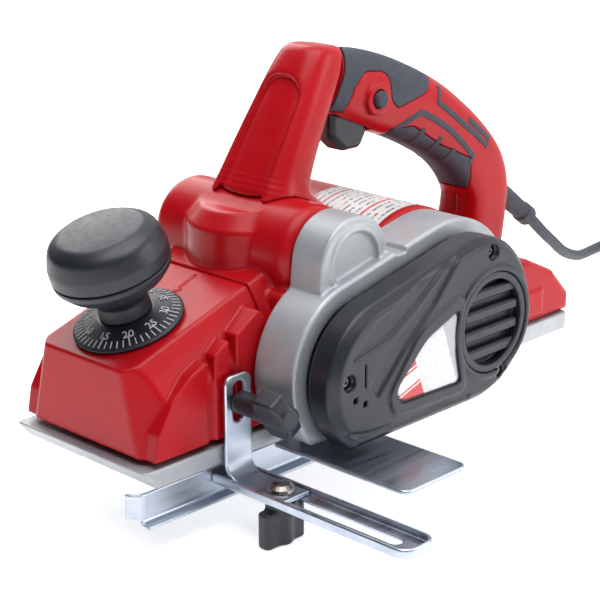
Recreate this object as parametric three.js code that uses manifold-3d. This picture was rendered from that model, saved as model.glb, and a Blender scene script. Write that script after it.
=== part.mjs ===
// Electric hand planer for 110 mm cuts, with a parallel fence and a mains lead.
// Millimetres, +Z up, +X towards the rear of the tool, -Y its left side. The sole lies in z = 0.
import * as THREE from "three";
import { mergeVertices } from "three/addons/utils/BufferGeometryUtils.js";
import Module from "manifold-3d";

const wasm = await Module();
wasm.setup();

// ---------------------------------------------------------------- driving dimensions
const GAP = 0.3; // between pieces that touch
const FIT = 0.15; // radial, between a shaft and what turns on it or with it

const SOLE_LENGTH = 380;
const SOLE_WIDTH = 112;
const SHOE_THICKNESS = 11;
const SHOE_BOW = 3; // how far the front edge bows out
const SHOE_CHAMFER = [9.7, 11.5]; // front corners, along and across
const HOUSING_SIDE = 57; // half width of the red housing
const MOUTH_FRONT = 17; // from the drum axis to the front shoe
const MOUTH_REAR = 15; // from the drum axis to the rear shoe
const MOUTH_SLANT = 13; // how far the mouth opens through the shoe
const GROOVE = { y: 6, depth: 3 }; // chamfering groove under the front shoe
const DEPTH_RANGE = 3; // travel of the front shoe

const CUT_RADIUS = 31; // the knives sweep down to the sole's plane
const DRUM = { x: 133, z: CUT_RADIUS, cut: CUT_RADIUS, body: CUT_RADIUS - 2.5, width: 110, shaft: 7.5 };
const KNIFE = { depth: 11, thickness: 2 };
const MOTOR = { x: 218, z: 60, shaft: 6, armature: 26, statorIn: 27, statorOut: 44, chamber: 46,
  shell: 55 };
const DUCT = { x: 137, z: 103, outer: 29, inner: 23 };
const FAN_BLADES = 8;
const BELT_THICKNESS = 2.2;
const DRUM_BEARING = 14; // outer radius of the drum's bearings
const MOTOR_BEARING = { left: 12, right: 11 };

const HOUSING_FLOOR = SHOE_THICKNESS + DEPTH_RANGE + 0.5;
const WALL = 3;
const SKIN = 1.8; // rubber on the grip
const FRONT_COVER = { front: 6, rear: 96, top: 62.5, slope: THREE.MathUtils.degToRad(18) };
const SHOULDER = { ridge: 40, brow: 43.5, browDrop: 7, side: 54, sideDrop: 20 };
const PILLAR = { x: 140, rx: 42, ry: 40, top: 128 };
const REAR_SPLIT = 262; // where the rear housing meets the main housing

// The left side, from the housing outwards: casting, drive, belt cover.
const CASTING_DEPTH = 30.7;
const SIDE = {
  to: -HOUSING_SIDE - GAP, from: -HOUSING_SIDE - GAP - CASTING_DEPTH, floor: -HOUSING_SIDE - 9, rim: 7,
  wall: 4.5,
};
const COVER_DEPTH = 23.7;
const COVER = {
  front: [133, 45, 45], rear: [214, 58, 50], bottom: 8, face: SIDE.from - GAP - COVER_DEPTH, chamfer: 4,
  wall: 2.5,
};
const BOSS = { x: 138, z: 104, r: 27, face: SIDE.from + 6, depth: 2, inner: 18 };
const PULLEY = { drum: CUT_RADIUS - 16, motor: CUT_RADIUS - 14, from: SIDE.from + 3.5,
  to: SIDE.from + 16.5, flange: 2 };
const LEFT_BEARING = [SIDE.floor + 0.5, SIDE.to - 0.7];
const RIGHT_BEARING = [HOUSING_SIDE + 0.8, HOUSING_SIDE + 7.8];
const GRILLE = { x: 225, z: 55, r: 31, slat: 6.2, pitch: 12.2, count: 4 };
const COVER_SCREWS = [[224, 98], [101, 50], [235, 21]];
const SCREW = { head: 3.6, headLength: 3, shank: 1.9, post: 5 };

const KNOB = { x: 41, dial: 32, dialRim: 4.6, neck: 15, head: 34, headBottom: 18, seam: 38, top: 62 };
const SPINDLE = { r: 4, length: 46 };

const TRIGGER = { halfWidth: 9, pivot: [205, 169], travel: 9 };
const LOCK = { x: 226, z: 175, r: 5.4, boss: 10.5 };

const CLAMP = { x: 66.5, z: 36, r: 3.5, barrel: 6.6, start: -SHOULDER.side - 10, end: -SHOULDER.side - 47 };
const BRACKET = { width: 20, thickness: 2.5, face: -SHOULDER.side - 4, top: 52, bend: 9, end: -105,
  slot: 8.2 };
const ARM = { width: 25.6, height: 5.8, wall: 2, bottom: -11.8, end: -194.5, slot: 8.2 };
const FENCE = { front: 2, length: 130, y: -50, thickness: 2, top: -2.8, drop: 18, lip: 7, leadIn: 7 };
const WING = { y: -93, neck: 9, neckLength: 7, length: 19, halfSpan: 15, thickness: 9 };
const GROUND = ARM.bottom - GAP - WING.neckLength - WING.length; // what the whole tool and its lead lie on
const PLATE = { x: [93, 145], y: [-160, -61], z: [0.9, 3.4], corner: 5 };

const BOLT = { r: 3, head: 8, rise: 4.6, clear: 8 };
const CLAMP_WING = { from: -80, halfSpan: 14, tilt: 58, thickness: 8 };
const PLATE_POSTS = [PLATE.x[0] + 16, PLATE.x[1] - 12];
const PLATE_POST_Y = -73;

// Stations along the grip and its column: centre x and z, direction in degrees, half height, half width.
const GRIP = [
  [192, 188, -10, 18, 17], [212, 183.5, -14, 22.5, 18], [235, 176, -18, 24, 18],
  [260, 166.5, -23, 23.5, 18],
  [285, 154.5, -29, 23, 18], [306, 141.5, -35, 22, 18], [324, 127, -44, 21.5, 18], [338, 111, -62, 21, 18],
  [344, 96, -84, 19, 18], [343, 80, -98, 18, 18], [339, 62, -103, 18, 19], [336, 48, -103, 18, 19]];
const COLUMN = [
  [143, 110, 90, 27, 33], [145, 124, 90, 25, 32], [149, 138, 90, 20.5, 28], [156, 152, 90, 18.5, 26],
  [168, 172, 90, 17.5, 23.5], [180, 190, 90, 17.5, 21], [189, 200, 90, 17.5, 19], [197, 208, 90, 14, 15],
  [201, 212, 90, 9, 10]];

const CORD_DIAMETER = 8;
const RELIEF = { from: [352, 0, 100.5], to: [405, 0, 62] };
// The lead runs from the strain relief down to the ground and along it to the coil, and on to the plug.
const LEAD = [
  [405.3, 0, 61.7], [411, 0, 57.5], [430, 4, 44], [452, 11, 31], [478, 22, 17], [512, 38, 3],
  [550, 57, -10], [592, 80, -22], [630, 98, -30.5], [660, 107, -34], [690, 109.6, -34],
  [714.8, 110.2, -34]];
const TAIL = [[714, -10.6, -34], [706, -10.6, -32.6], [697, -10.6, -29], [688.6, -10.6, -28.2]];
const COIL = { x: 718, y: 50, inner: 32, outer: 56, height: 24 };
const PLUG = { back: 688, front: 646, y: -10.6, z: -28, halfWidth: 15, halfHeight: 9.6, pin: 2.4,
  pinLength: 19 };

// How finely round shapes are cut.
const ROUND = { coarse: 10, small: 14, medium: 20, large: 28 };
const CURVE_STEPS = 4;

// The group's origin is the centre of the rear shoe's sole.
const REAR_SHOE_FRONT = DRUM.x + MOUTH_REAR;
const ORIGIN_X = (REAR_SHOE_FRONT + SOLE_LENGTH) / 2;

// ---------------------------------------------------------------- materials
const finish = (color, roughness, metalness) => () =>
  new THREE.MeshStandardMaterial({ color, roughness, metalness });
const redPlastic = finish(0xc4101c, 0.35, 0);
const darkPlastic = finish(0x2a3038, 0.45, 0);
const rubber = finish(0x4a525c, 0.8, 0);
const castAluminium = finish(0xb9bcbf, 0.45, 0.9);
const zincSteel = finish(0xc9ccd0, 0.3, 1);
const steel = finish(0x8d9195, 0.35, 1);
const copper = finish(0xb0653a, 0.4, 1);
const paper = finish(0xe9e6e2, 0.5, 0);

// ---------------------------------------------------------------- solids
// A closed geometry as a solid, its faces turned outwards.
function solidOf(geometry) {
  const bare = geometry.clone();
  bare.deleteAttribute("normal");
  bare.deleteAttribute("uv");
  const merged = mergeVertices(bare, 1e-4);
  const vertProperties = merged.attributes.position.array;
  const build = (triVerts) => new wasm.Manifold(new wasm.Mesh({ numProp: 3, vertProperties, triVerts }));
  const triVerts = new Uint32Array(merged.index.array);
  const made = build(triVerts);
  return made.volume() < 0 ? build(triVerts.reverse()) : made;
}

// A shape whose corners are [x, y] or [x, y, radius].
function outline(corners) {
  const shape = new THREE.Shape();
  const at = (i) => new THREE.Vector2(...corners[(i + corners.length) % corners.length].slice(0, 2));
  corners.forEach(([, , radius = 0], i) => {
    const corner = at(i);
    const back = at(i - 1).sub(corner).normalize();
    const ahead = at(i + 1).sub(corner).normalize();
    const cut = radius / Math.tan(Math.acos(THREE.MathUtils.clamp(back.dot(ahead), -1, 1)) / 2);
    const start = corner.clone().addScaledVector(back, cut);
    const end = corner.clone().addScaledVector(ahead, cut);
    if (i) shape.lineTo(start.x, start.y);
    else shape.moveTo(start.x, start.y);
    if (radius) shape.quadraticCurveTo(corner.x, corner.y, end.x, end.y);
  });
  shape.closePath();
  return shape;
}

// Corners moved outwards so that every edge shifts by the same amount.
function grown(corners, by) {
  const at = (i) => new THREE.Vector2(...corners[(i + corners.length) % corners.length].slice(0, 2));
  const area = corners.reduce((sum, _, i) => sum + at(i).cross(at(i + 1)), 0);
  const outwards = (a, b) => b.clone().sub(a).normalize().rotateAround(new THREE.Vector2(), -Math.PI / 2)
    .multiplyScalar(Math.sign(area));
  return corners.map(([, , radius = 0], i) => {
    const before = outwards(at(i - 1), at(i)), after = outwards(at(i), at(i + 1));
    const turn = before.cross(after) * Math.sign(area);
    const shift = before.clone().add(after).multiplyScalar(by / (1 + before.dot(after)));
    return [...at(i).add(shift).toArray(), radius && Math.max(radius + Math.sign(turn) * by, 0.1)];
  });
}

const extruded = (shape, depth, bevel) =>
  new THREE.ExtrudeGeometry(shape, { depth, curveSegments: CURVE_STEPS, bevelEnabled: false, ...bevel });

// Prisms of a shape drawn in the XZ, XY or YZ plane.
const prismY = (shape, y0, y1) =>
  solidOf(extruded(shape, y1 - y0).rotateX(Math.PI / 2).translate(0, y1, 0));
const prismZ = (shape, z0, z1) => solidOf(extruded(shape, z1 - z0).translate(0, 0, z0));
const TO_X = new THREE.Matrix4().makeBasis(
  new THREE.Vector3(0, 1, 0), new THREE.Vector3(0, 0, 1), new THREE.Vector3(1, 0, 0));
const prismX = (shape, x0, x1) => solidOf(extruded(shape, x1 - x0).applyMatrix4(TO_X).translate(x0, 0, 0));

const box = (x0, x1, y0, y1, z0, z1) =>
  solidOf(new THREE.BoxGeometry(x1 - x0, y1 - y0, z1 - z0)
    .translate((x0 + x1) / 2, (y0 + y1) / 2, (z0 + z1) / 2));
const rodY = (x, z, r, y0, y1, segments = ROUND.medium) =>
  solidOf(new THREE.CylinderGeometry(r, r, y1 - y0, segments).translate(x, (y0 + y1) / 2, z));
const rodZ = (x, y, r, z0, z1, segments = ROUND.medium) =>
  solidOf(new THREE.CylinderGeometry(r, r, z1 - z0, segments).rotateX(Math.PI / 2)
    .translate(x, y, (z0 + z1) / 2));

// A turned solid: profile points are [radius, height], the axis runs from the base along a direction.
function turned(profile, base, direction, segments = ROUND.medium) {
  const lathe = new THREE.LatheGeometry(profile.map(([r, h]) => new THREE.Vector2(r, h)), segments);
  const turn = new THREE.Quaternion().setFromUnitVectors(new THREE.Vector3(0, 1, 0), direction);
  return solidOf(lathe.applyQuaternion(turn).translate(...base));
}

// A solid through closed rings that all have the same number of points.
function lofted(rings) {
  const count = rings[0].length;
  const points = rings.flat();
  const faces = [];
  rings.slice(1).forEach((_, i) => {
    for (let j = 0; j < count; j++) {
      const a = i * count + j, b = i * count + ((j + 1) % count);
      faces.push(a, b, b + count, a, b + count, a + count);
    }
  });
  const last = (rings.length - 1) * count;
  for (let j = 1; j < count - 1; j++) faces.push(0, j + 1, j, last, last + j, last + j + 1);
  const geometry = new THREE.BufferGeometry().setFromPoints(points);
  geometry.setIndex(faces);
  return solidOf(geometry);
}

// What is left of a solid on the far side of a plane through a point, away from the normal.
const cutBy = (solid, normal, point) => {
  const n = normal.clone().normalize().negate();
  return solid.trimByPlane(n.toArray(), n.dot(point));
};

const union = (...solids) => solids.reduce((a, b) => a.add(b));

// The largest piece of a solid, without the slivers that two nearly equal surfaces leave.
const largest = (solid) => solid.decompose().reduce((a, b) => (b.volume() > a.volume() ? b : a));

// ---------------------------------------------------------------- the scene
const tool = new THREE.Group();
tool.position.x = -ORIGIN_X;

function part(name, solid, material) {
  const { vertProperties, triVerts } = solid.getMesh();
  const geometry = new THREE.BufferGeometry();
  geometry.setAttribute("position", new THREE.BufferAttribute(new Float32Array(vertProperties), 3));
  geometry.setIndex(new THREE.BufferAttribute(new Uint32Array(triVerts), 1));
  geometry.computeVertexNormals();
  const mesh = new THREE.Mesh(geometry, material());
  mesh.name = name;
  tool.add(mesh);
}

// ---------------------------------------------------------------- shoes
const half = SOLE_WIDTH / 2;

function frontShoe() {
  const [along, across] = SHOE_CHAMFER;
  const shape = new THREE.Shape();
  shape.moveTo(along, -half);
  const back = DRUM.x - MOUTH_FRONT;
  shape.lineTo(back, -half).lineTo(back, half).lineTo(along, half).lineTo(SHOE_BOW, half - across);
  shape.quadraticCurveTo(-SHOE_BOW, 0, SHOE_BOW, -half + across);
  shape.closePath();
  const plate = prismZ(shape, 0, SHOE_THICKNESS);
  const groove = prismX(outline([
    [GROOVE.y - GROOVE.depth - 1, -1], [GROOVE.y + GROOVE.depth + 1, -1], [GROOVE.y, GROOVE.depth]]),
    -10, back + 1);
  const mouth = prismY(outline([
    [back, -0.1], [back + 1, -0.1], [back + 1, SHOE_THICKNESS + 1],
    [back - MOUTH_SLANT, SHOE_THICKNESS + 1], [back - MOUTH_SLANT, SHOE_THICKNESS]]), -half - 1, half + 1);
  const tower = box(spindleFoot.x - 12, spindleFoot.x + 12, -14, 14, SHOE_THICKNESS - 1, spindleFoot.z + 7);
  const well = turned([[0, -1], [SPINDLE.r + 2.5, -1], [SPINDLE.r + 2.5, 40], [0, 40]],
    spindleFoot.clone().addScaledVector(knobAxis, -DEPTH_RANGE - 1).toArray(), knobAxis);
  const ribs = [-1, 1].map((side) => box(20, 84, side * 34 - 2, side * 34 + 2, SHOE_THICKNESS - 1, 20));
  return union(plate, tower, ...ribs).subtract(groove).subtract(mouth).subtract(well);
}

function rearShoe() {
  const profile = outline([
    [REAR_SHOE_FRONT, 0], [SOLE_LENGTH, 0], [SOLE_LENGTH, SHOE_THICKNESS],
    [REAR_SHOE_FRONT + MOUTH_SLANT, SHOE_THICKNESS]]);
  const corners = outline([
    [REAR_SHOE_FRONT - 1, -half], [SOLE_LENGTH, -half, 5], [SOLE_LENGTH, half, 5],
    [REAR_SHOE_FRONT - 1, half]]);
  return prismY(profile, -half, half).intersect(prismZ(corners, -1, SHOE_THICKNESS + 1));
}

// ---------------------------------------------------------------- red housings
const topAt = (x) => FRONT_COVER.top + Math.tan(FRONT_COVER.slope) * (x - FRONT_COVER.front);

// The stepped body of the front cover between two places along X, drawn in by an inset.
function frontBody(x0, x1, inset) {
  const floor = HOUSING_FLOOR - (inset ? 1 : 0);
  const top = (x) => topAt(x) - inset * 1.05;
  let solid = prismY(outline([
    [x0 + inset, floor], [x1 - inset, floor], [x1 - inset, top(x1)], [x0 + inset, top(x0), inset ? 1 : 4]]),
    -SHOULDER.side + inset, SHOULDER.side - inset);
  const along = new THREE.Vector3(1, 0, Math.tan(FRONT_COVER.slope));
  for (const side of [-1, 1]) {
    const ridge = new THREE.Vector3(0, side * (SHOULDER.ridge - inset), top(0));
    const brow = new THREE.Vector3(0, side * (SHOULDER.brow - inset), top(0) - SHOULDER.browDrop);
    const hip = new THREE.Vector3(0, side * (SHOULDER.side - inset), top(0) - SHOULDER.sideDrop);
    for (const [from, to] of [[ridge, brow], [brow, hip]])
      solid = cutBy(solid, along.clone().cross(to.clone().sub(from)).multiplyScalar(side), from);
    const corner = new THREE.Vector3(-16, side * 16, 5);
    solid = cutBy(solid, corner, new THREE.Vector3(x0 + inset, side * (SHOULDER.side - inset - 15), 40));
  }
  return solid;
}

const ellipseZ = (x, rx, ry, z0, z1, grow = 0) =>
  solidOf(new THREE.CylinderGeometry(1, 1, z1 - z0, ROUND.large).rotateX(Math.PI / 2)
    .scale(rx + grow, ry + grow, 1).translate(x, 0, (z0 + z1) / 2));

// The main housing's outer form, grown by a margin where another piece keeps clear of it.
function mainForm(grow = 0) {
  const front = FRONT_COVER.rear + GAP - grow;
  const body = outline([
    [front, HOUSING_FLOOR - grow], [REAR_SPLIT + grow, HOUSING_FLOOR - grow],
    [REAR_SPLIT + grow, 88 + grow],
    [front + 8, 88 + grow]]);
  const side = HOUSING_SIDE + grow;
  const step = box(front, front + 46, -SHOULDER.side - grow, SHOULDER.side + grow, HOUSING_FLOOR, 88);
  return union(
    prismY(body, -side, side),
    step,
    frontBody(front - 12, PILLAR.x, -grow).subtract(box(0, front, -60, 60, 0, 200)),
    solidOf(new THREE.CylinderGeometry(DUCT.outer + grow, DUCT.outer + grow, 2 * side - 6, ROUND.large)
      .translate(DUCT.x, -3, DUCT.z)),
    solidOf(new THREE.CylinderGeometry(DUCT.outer + grow - 6, DUCT.outer + grow, 6, ROUND.large)
      .translate(DUCT.x, side - 3, DUCT.z)),
    rodY(MOTOR.x, MOTOR.z, MOTOR.shell + grow, -side, side, ROUND.large),
    ellipseZ(PILLAR.x, PILLAR.rx, PILLAR.ry, 70, PILLAR.top, grow),
  ).subtract(box(0, 400, -80, 80, -20, HOUSING_FLOOR - grow))
    .subtract(box(REAR_SPLIT + grow, 400, -80, 80, 0, 200));
}

function mainHousing() {
  const chamber = rodY(DRUM.x, DRUM.z, DRUM.cut + WALL, -70, 70, ROUND.large);
  const motorRoom = rodY(MOTOR.x, MOTOR.z, MOTOR.chamber, -70, HOUSING_SIDE - 9, ROUND.large);
  const bearingSeat = rodY(MOTOR.x, MOTOR.z, MOTOR_BEARING.right + FIT, 40, HOUSING_SIDE - 1.5);
  const duct = rodY(DUCT.x, DUCT.z, DUCT.inner, -70, 70, ROUND.large);
  const throat = box(DUCT.x - 16, DUCT.x + 14, -46, 46, 45, DUCT.z);
  return mainForm().subtract(chamber).subtract(motorRoom).subtract(bearingSeat)
    .subtract(duct).subtract(throat);
}

function frontCover() {
  const shell = frontBody(FRONT_COVER.front, FRONT_COVER.rear, 0)
    .subtract(frontBody(FRONT_COVER.front, FRONT_COVER.rear, WALL));
  const hole = turned([[0, -40], [SPINDLE.r + FIT, -40], [SPINDLE.r + FIT, 40], [0, 40]],
    knobBase.toArray(), knobAxis);
  const boss = turned([[0, -14], [9, -14], [9, -1], [0, -1]], knobBase.toArray(), knobAxis, ROUND.small);
  const clampBoss = rodY(CLAMP.x, CLAMP.z, 9, BRACKET.face + GAP, -SHOULDER.side + 6);
  const clampHole = rodY(CLAMP.x, CLAMP.z, CLAMP.r + FIT, -80, -30);
  return union(shell, boss, clampBoss).subtract(hole).subtract(clampHole);
}

// Side outline of the rear housing: falls from the motor to the tail.
function rearForm(grow = 0) {
  const x0 = REAR_SPLIT + GAP - grow;
  const tail = SOLE_LENGTH + 3;
  return prismY(outline([
    [x0, SHOE_THICKNESS + GAP - grow], [tail + grow, SHOE_THICKNESS + GAP - grow], [tail + grow, 24, 4],
    [365, 43 + grow, 5], [338, 56 + grow, 6], [300, 64 + grow, 20], [272, 88 + grow, 10], [x0, 93 + grow]]),
    -SHOULDER.side - grow, SHOULDER.side + grow);
}

function rearHousing() {
  const room = prismY(outline([
    [REAR_SPLIT - 1, 0], [SOLE_LENGTH - 2, 0], [SOLE_LENGTH - 2, 22], [362, 38], [336, 52], [298, 60],
    [268, 84], [REAR_SPLIT - 1, 88]]), -SHOULDER.side + WALL, SHOULDER.side - WALL);
  return rearForm().subtract(room);
}

// ---------------------------------------------------------------- left side: casting, cover, drive
// Belt cover outline: two round ends, a straight top and a flat bottom, grown by an offset.
function coverShape(offset) {
  const [x1, z1, r1] = COVER.front, [x2, z2, r2] = COVER.rear;
  const R1 = r1 + offset, R2 = r2 + offset, bottom = COVER.bottom - Math.min(offset, 0);
  const top = Math.atan2(z2 - z1, x2 - x1) + Math.acos((R1 - R2) / Math.hypot(x2 - x1, z2 - z1));
  const rear = Math.asin((bottom - z2) / R2);
  const front = Math.PI - Math.asin((bottom - z1) / R1);
  const shape = new THREE.Shape();
  shape.absarc(x2, z2, R2, rear, top, false);
  shape.absarc(x1, z1, R1, top, front, false);
  shape.closePath();
  return shape;
}

function sideCasting() {
  const { from, to, floor, rim, wall } = SIDE;
  const body = prismY(coverShape(rim), from, to);
  const boss = union(
    rodY(BOSS.x, BOSS.z, BOSS.r, BOSS.face, to, ROUND.large),
    prismY(outline([[BOSS.x - BOSS.r, BOSS.z], [BOSS.x - BOSS.r - 4, 60], [BOSS.x + 40, 90],
      [BOSS.x + BOSS.r, BOSS.z]]), BOSS.face, to));
  const dish = rodY(BOSS.x, BOSS.z, BOSS.inner, BOSS.face - 1, BOSS.face + BOSS.depth, ROUND.large);
  const pocket = prismY(coverShape(-wall), from - 1, floor);
  const posts = COVER_SCREWS.map(([x, z]) => rodY(x, z, SCREW.post, from, floor + 1, ROUND.coarse));
  const notch = box(166, 174, from - 1, from + 16, 104, 130);
  return union(body.subtract(pocket), boss.subtract(pocket), ...posts)
    .subtract(dish).subtract(notch)
    .subtract(rodY(DRUM.x, DRUM.z, DRUM_BEARING + FIT, floor - 1, to + 1))
    .subtract(rodY(MOTOR.x, MOTOR.z, MOTOR_BEARING.left + FIT, floor - 1, to + 1))
    .subtract(union(...COVER_SCREWS.map(([x, z]) => rodY(x, z, SCREW.shank + FIT, from - 1, floor - 0.5,
      ROUND.coarse))));
}

function beltCover() {
  const { face, chamfer, wall } = COVER;
  const depth = SIDE.from - GAP - face;
  const outer = solidOf(extruded(coverShape(0), depth, {
    bevelEnabled: true, bevelThickness: chamfer, bevelSize: chamfer, bevelOffset: -chamfer,
    bevelSegments: 1,
  }).rotateX(Math.PI / 2).translate(0, face + chamfer + depth, 0))
    .subtract(box(0, 400, SIDE.from - GAP, 0, -50, 200));
  const room = prismY(coverShape(-wall), face + wall, 0);
  const posts = COVER_SCREWS.map(([x, z]) => rodY(x, z, SCREW.post, face + wall - 1, SIDE.from - GAP,
    ROUND.coarse));
  const holes = COVER_SCREWS.map(([x, z]) => union(
    rodY(x, z, SCREW.head + FIT, face - 1, face + 4 + SCREW.headLength, ROUND.coarse),
    rodY(x, z, SCREW.shank + FIT, face - 1, 0, ROUND.coarse)));
  const recess = prismY(labelShape(1), face - 1, face + 1.2);
  return union(outer.subtract(room), ...posts).subtract(union(...holes)).subtract(recess)
    .subtract(rodY(GRILLE.x, GRILLE.z, GRILLE.r, face - 1, face + wall + 1, ROUND.large));
}

// The name plate: a leaf that narrows to the front and is cut round by the grille ring.
function labelShape(grow) {
  return outline([
    [129 - grow, 27 - grow, 7], [196 + grow, 25 - grow, 3], [192 + grow, 44, 8], [193 + grow, 71 + grow, 2],
    [164, 60 + grow, 30]]);
}

function grille() {
  const { x, z, r, slat, pitch, count } = GRILLE;
  const ring = rodY(x, z, r - GAP, COVER.face + 0.5, COVER.face + 7, ROUND.large)
    .subtract(rodY(x, z, r - 4, COVER.face - 1, COVER.face + 8, ROUND.large));
  const bars = [...Array(count).keys()].map((i) => {
    const height = (i - (count - 1) / 2) * pitch;
    const reach = Math.sqrt((r - 3) ** 2 - (Math.abs(height) + slat / 2) ** 2);
    return box(x - reach, x + reach, COVER.face + 2, COVER.face + 6, z + height - slat / 2,
      z + height + slat / 2);
  });
  return union(ring, ...bars);
}

function coverScrew(x, z) {
  const { head, headLength, shank } = SCREW;
  const start = COVER.face + 4;
  return union(
    rodY(x, z, head, start, start + headLength - GAP, ROUND.coarse),
    rodY(x, z, shank, start + 1, SIDE.floor - 1.5, ROUND.coarse),
  ).subtract(box(x - head, x + head, start - 1, start + 1.2, z - 0.5, z + 0.5));
}

function pulley({ x, z }, radius, bore) {
  const { from, to, flange } = PULLEY;
  const rims = [[from, from + 1], [to - 1, to]].map(([a, b]) => rodY(x, z, radius + flange, a, b,
    ROUND.medium));
  return union(rodY(x, z, radius, from, to, ROUND.medium),
    ...rims).subtract(rodY(x, z, bore + FIT, -120, 0));
}

// The belt runs round both pulleys, clear of their faces.
function belt() {
  const loop = (grow) => {
    const r1 = PULLEY.drum + grow, r2 = PULLEY.motor + grow;
    const span = Math.hypot(MOTOR.x - DRUM.x, MOTOR.z - DRUM.z);
    const tilt = Math.atan2(MOTOR.z - DRUM.z, MOTOR.x - DRUM.x), lean = Math.acos((r1 - r2) / span);
    const shape = new THREE.Shape();
    shape.absarc(MOTOR.x, MOTOR.z, r2, tilt - lean, tilt + lean, false);
    shape.absarc(DRUM.x, DRUM.z, r1, tilt + lean, tilt - lean + 2 * Math.PI, false);
    shape.closePath();
    return shape;
  };
  const [from, to] = [PULLEY.from + 1 + GAP, PULLEY.to - 1 - GAP];
  const clear = 2 * GAP;
  return prismY(loop(clear + BELT_THICKNESS), from, to).subtract(prismY(loop(clear), from - 1, to + 1));
}

const bearing = ({ x, z }, outer, bore, y0, y1) =>
  rodY(x, z, outer, y0, y1).subtract(rodY(x, z, bore + FIT, y0 - 1, y1 + 1));

// ---------------------------------------------------------------- drum and motor
// A slanted slot or bar that lies along the drum, on one side or the other.
const knifeBar = (side, reach, thickness, halfLength) =>
  box(DRUM.cut - KNIFE.depth, DRUM.cut - reach, -halfLength, halfLength, -thickness / 2, thickness / 2)
    .rotate([0, side > 0 ? 0 : 180, 0]).translate([DRUM.x, 0, DRUM.z]);

function drum() {
  const { x, z, body, width, shaft } = DRUM;
  const core = rodY(x, z, body, -width / 2, width / 2, ROUND.large);
  const gullets = [0, 180].map((turn) =>
    box(body - 9, body + 5, -width / 2 - 1, width / 2 + 1, KNIFE.thickness / 2 + GAP, 14)
      .rotate([0, turn, 0]).translate([x, 0, z]));
  const slots = [1, -1].map((side) =>
    box(DRUM.cut - KNIFE.depth - GAP, body + 5, -width / 2 - 1, width / 2 + 1, -5,
      KNIFE.thickness / 2 + GAP)
      .rotate([0, side > 0 ? 0 : 180, 0]).translate([x, 0, z]));
  const axle = rodY(x, z, shaft, PULLEY.from - 3, HOUSING_SIDE + 7.5);
  return union(core.subtract(union(...gullets, ...slots)), axle);
}

// The bar that holds a knife in its slot.
const knifeClamp = (side) =>
  box(DRUM.cut - KNIFE.depth, DRUM.body - 1, -DRUM.width / 2 + 0.5, DRUM.width / 2 - 0.5,
    -4.7, -KNIFE.thickness / 2 - GAP)
    .rotate([0, side > 0 ? 0 : 180, 0]).translate([DRUM.x, 0, DRUM.z]);

function armature() {
  const { x, z, shaft, armature: r } = MOTOR;
  const fan = union(rodY(x, z, 11, -50, -38), rodY(x, z, 40, -39.5, -38, ROUND.large),
    ...[...Array(FAN_BLADES).keys()].map((i) => box(10, 40, -50, -39, -0.8, 0.8)
      .rotate([0, (i * 360) / FAN_BLADES, 0]).translate([x, 0, z])));
  return union(rodY(x, z, shaft, PULLEY.from - 2, HOUSING_SIDE - 3, ROUND.small),
    rodY(x, z, r, -30, 18), fan,
    rodY(x, z, 14, 24, 40));
}

const stator = () =>
  rodY(MOTOR.x, MOTOR.z, MOTOR.statorOut, -30, 18, ROUND.large).subtract(rodY(MOTOR.x, MOTOR.z,
    MOTOR.statorIn, -31, 19, ROUND.large));

function rightPlate() {
  const [y0, y1] = [HOUSING_SIDE + GAP, HOUSING_SIDE + 10];
  const shape = outline([[96, 9, 16], [176, 9, 10], [176, 46, 20], [146, 72, 20], [108, 72, 24],
    [92, 40, 24]]);
  return prismY(shape, y0, y1)
    .subtract(rodY(DRUM.x, DRUM.z, DRUM_BEARING + FIT, y0 - 1, y1 - 2));
}

// ---------------------------------------------------------------- depth knob
const knobAxis = new THREE.Vector3(-Math.sin(FRONT_COVER.slope), 0, Math.cos(FRONT_COVER.slope));
const knobBase = new THREE.Vector3(KNOB.x, 0, topAt(KNOB.x));
const spindleFoot = knobBase.clone().addScaledVector(knobAxis, -SPINDLE.length);
const alongKnob = (height) => knobBase.clone().addScaledVector(knobAxis, height).toArray();

const dial = () => {
  const { dial: r, dialRim, neck } = KNOB;
  return turned([[SPINDLE.r + FIT, 0], [r - 0.8, 0], [r, 0.8], [r, dialRim - 0.6], [r - 1, dialRim],
    [neck + 3, dialRim + 2.4], [neck - 1, dialRim + 2.6], [SPINDLE.r + FIT, dialRim + 2.6],
    [SPINDLE.r + FIT, 0]],
    alongKnob(GAP), knobAxis, ROUND.large);
};

function knobLower() {
  const { neck, head, headBottom, seam, dialRim } = KNOB;
  const from = dialRim + 2.6 + 2 * GAP;
  const profile = new THREE.SplineCurve([[neck, from + 7], [neck + 3, headBottom - 2],
    [neck + 10, headBottom + 5],
    [head - 6, headBottom + 12], [head, seam]].map(([r, h]) => new THREE.Vector2(r, h)));
  const bowl = profile.getPoints(6).map(({ x, y }) => [x, y]);
  return turned([[SPINDLE.r + FIT, from], [neck, from], ...bowl, [SPINDLE.r + FIT, seam],
    [SPINDLE.r + FIT, from]], alongKnob(0), knobAxis, ROUND.large);
}

function knobTop() {
  const { head, seam, top } = KNOB;
  const rise = top - seam - GAP;
  const dome = [...Array(7).keys()].map((i) => {
    const turn = (i / 6) * (Math.PI / 2);
    return [i === 6 ? 0 : head * Math.cos(turn) ** 0.75, seam + GAP + rise * Math.sin(turn) ** 0.9];
  });
  return turned([[0, seam + GAP], ...dome], alongKnob(0), knobAxis, ROUND.large);
}

const spindle = () =>
  turned([[0, -SPINDLE.length], [SPINDLE.r - 1, -SPINDLE.length], [SPINDLE.r, 1 - SPINDLE.length],
    [SPINDLE.r, KNOB.seam - GAP], [0, KNOB.seam - GAP]], alongKnob(0), knobAxis, ROUND.small);

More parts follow.
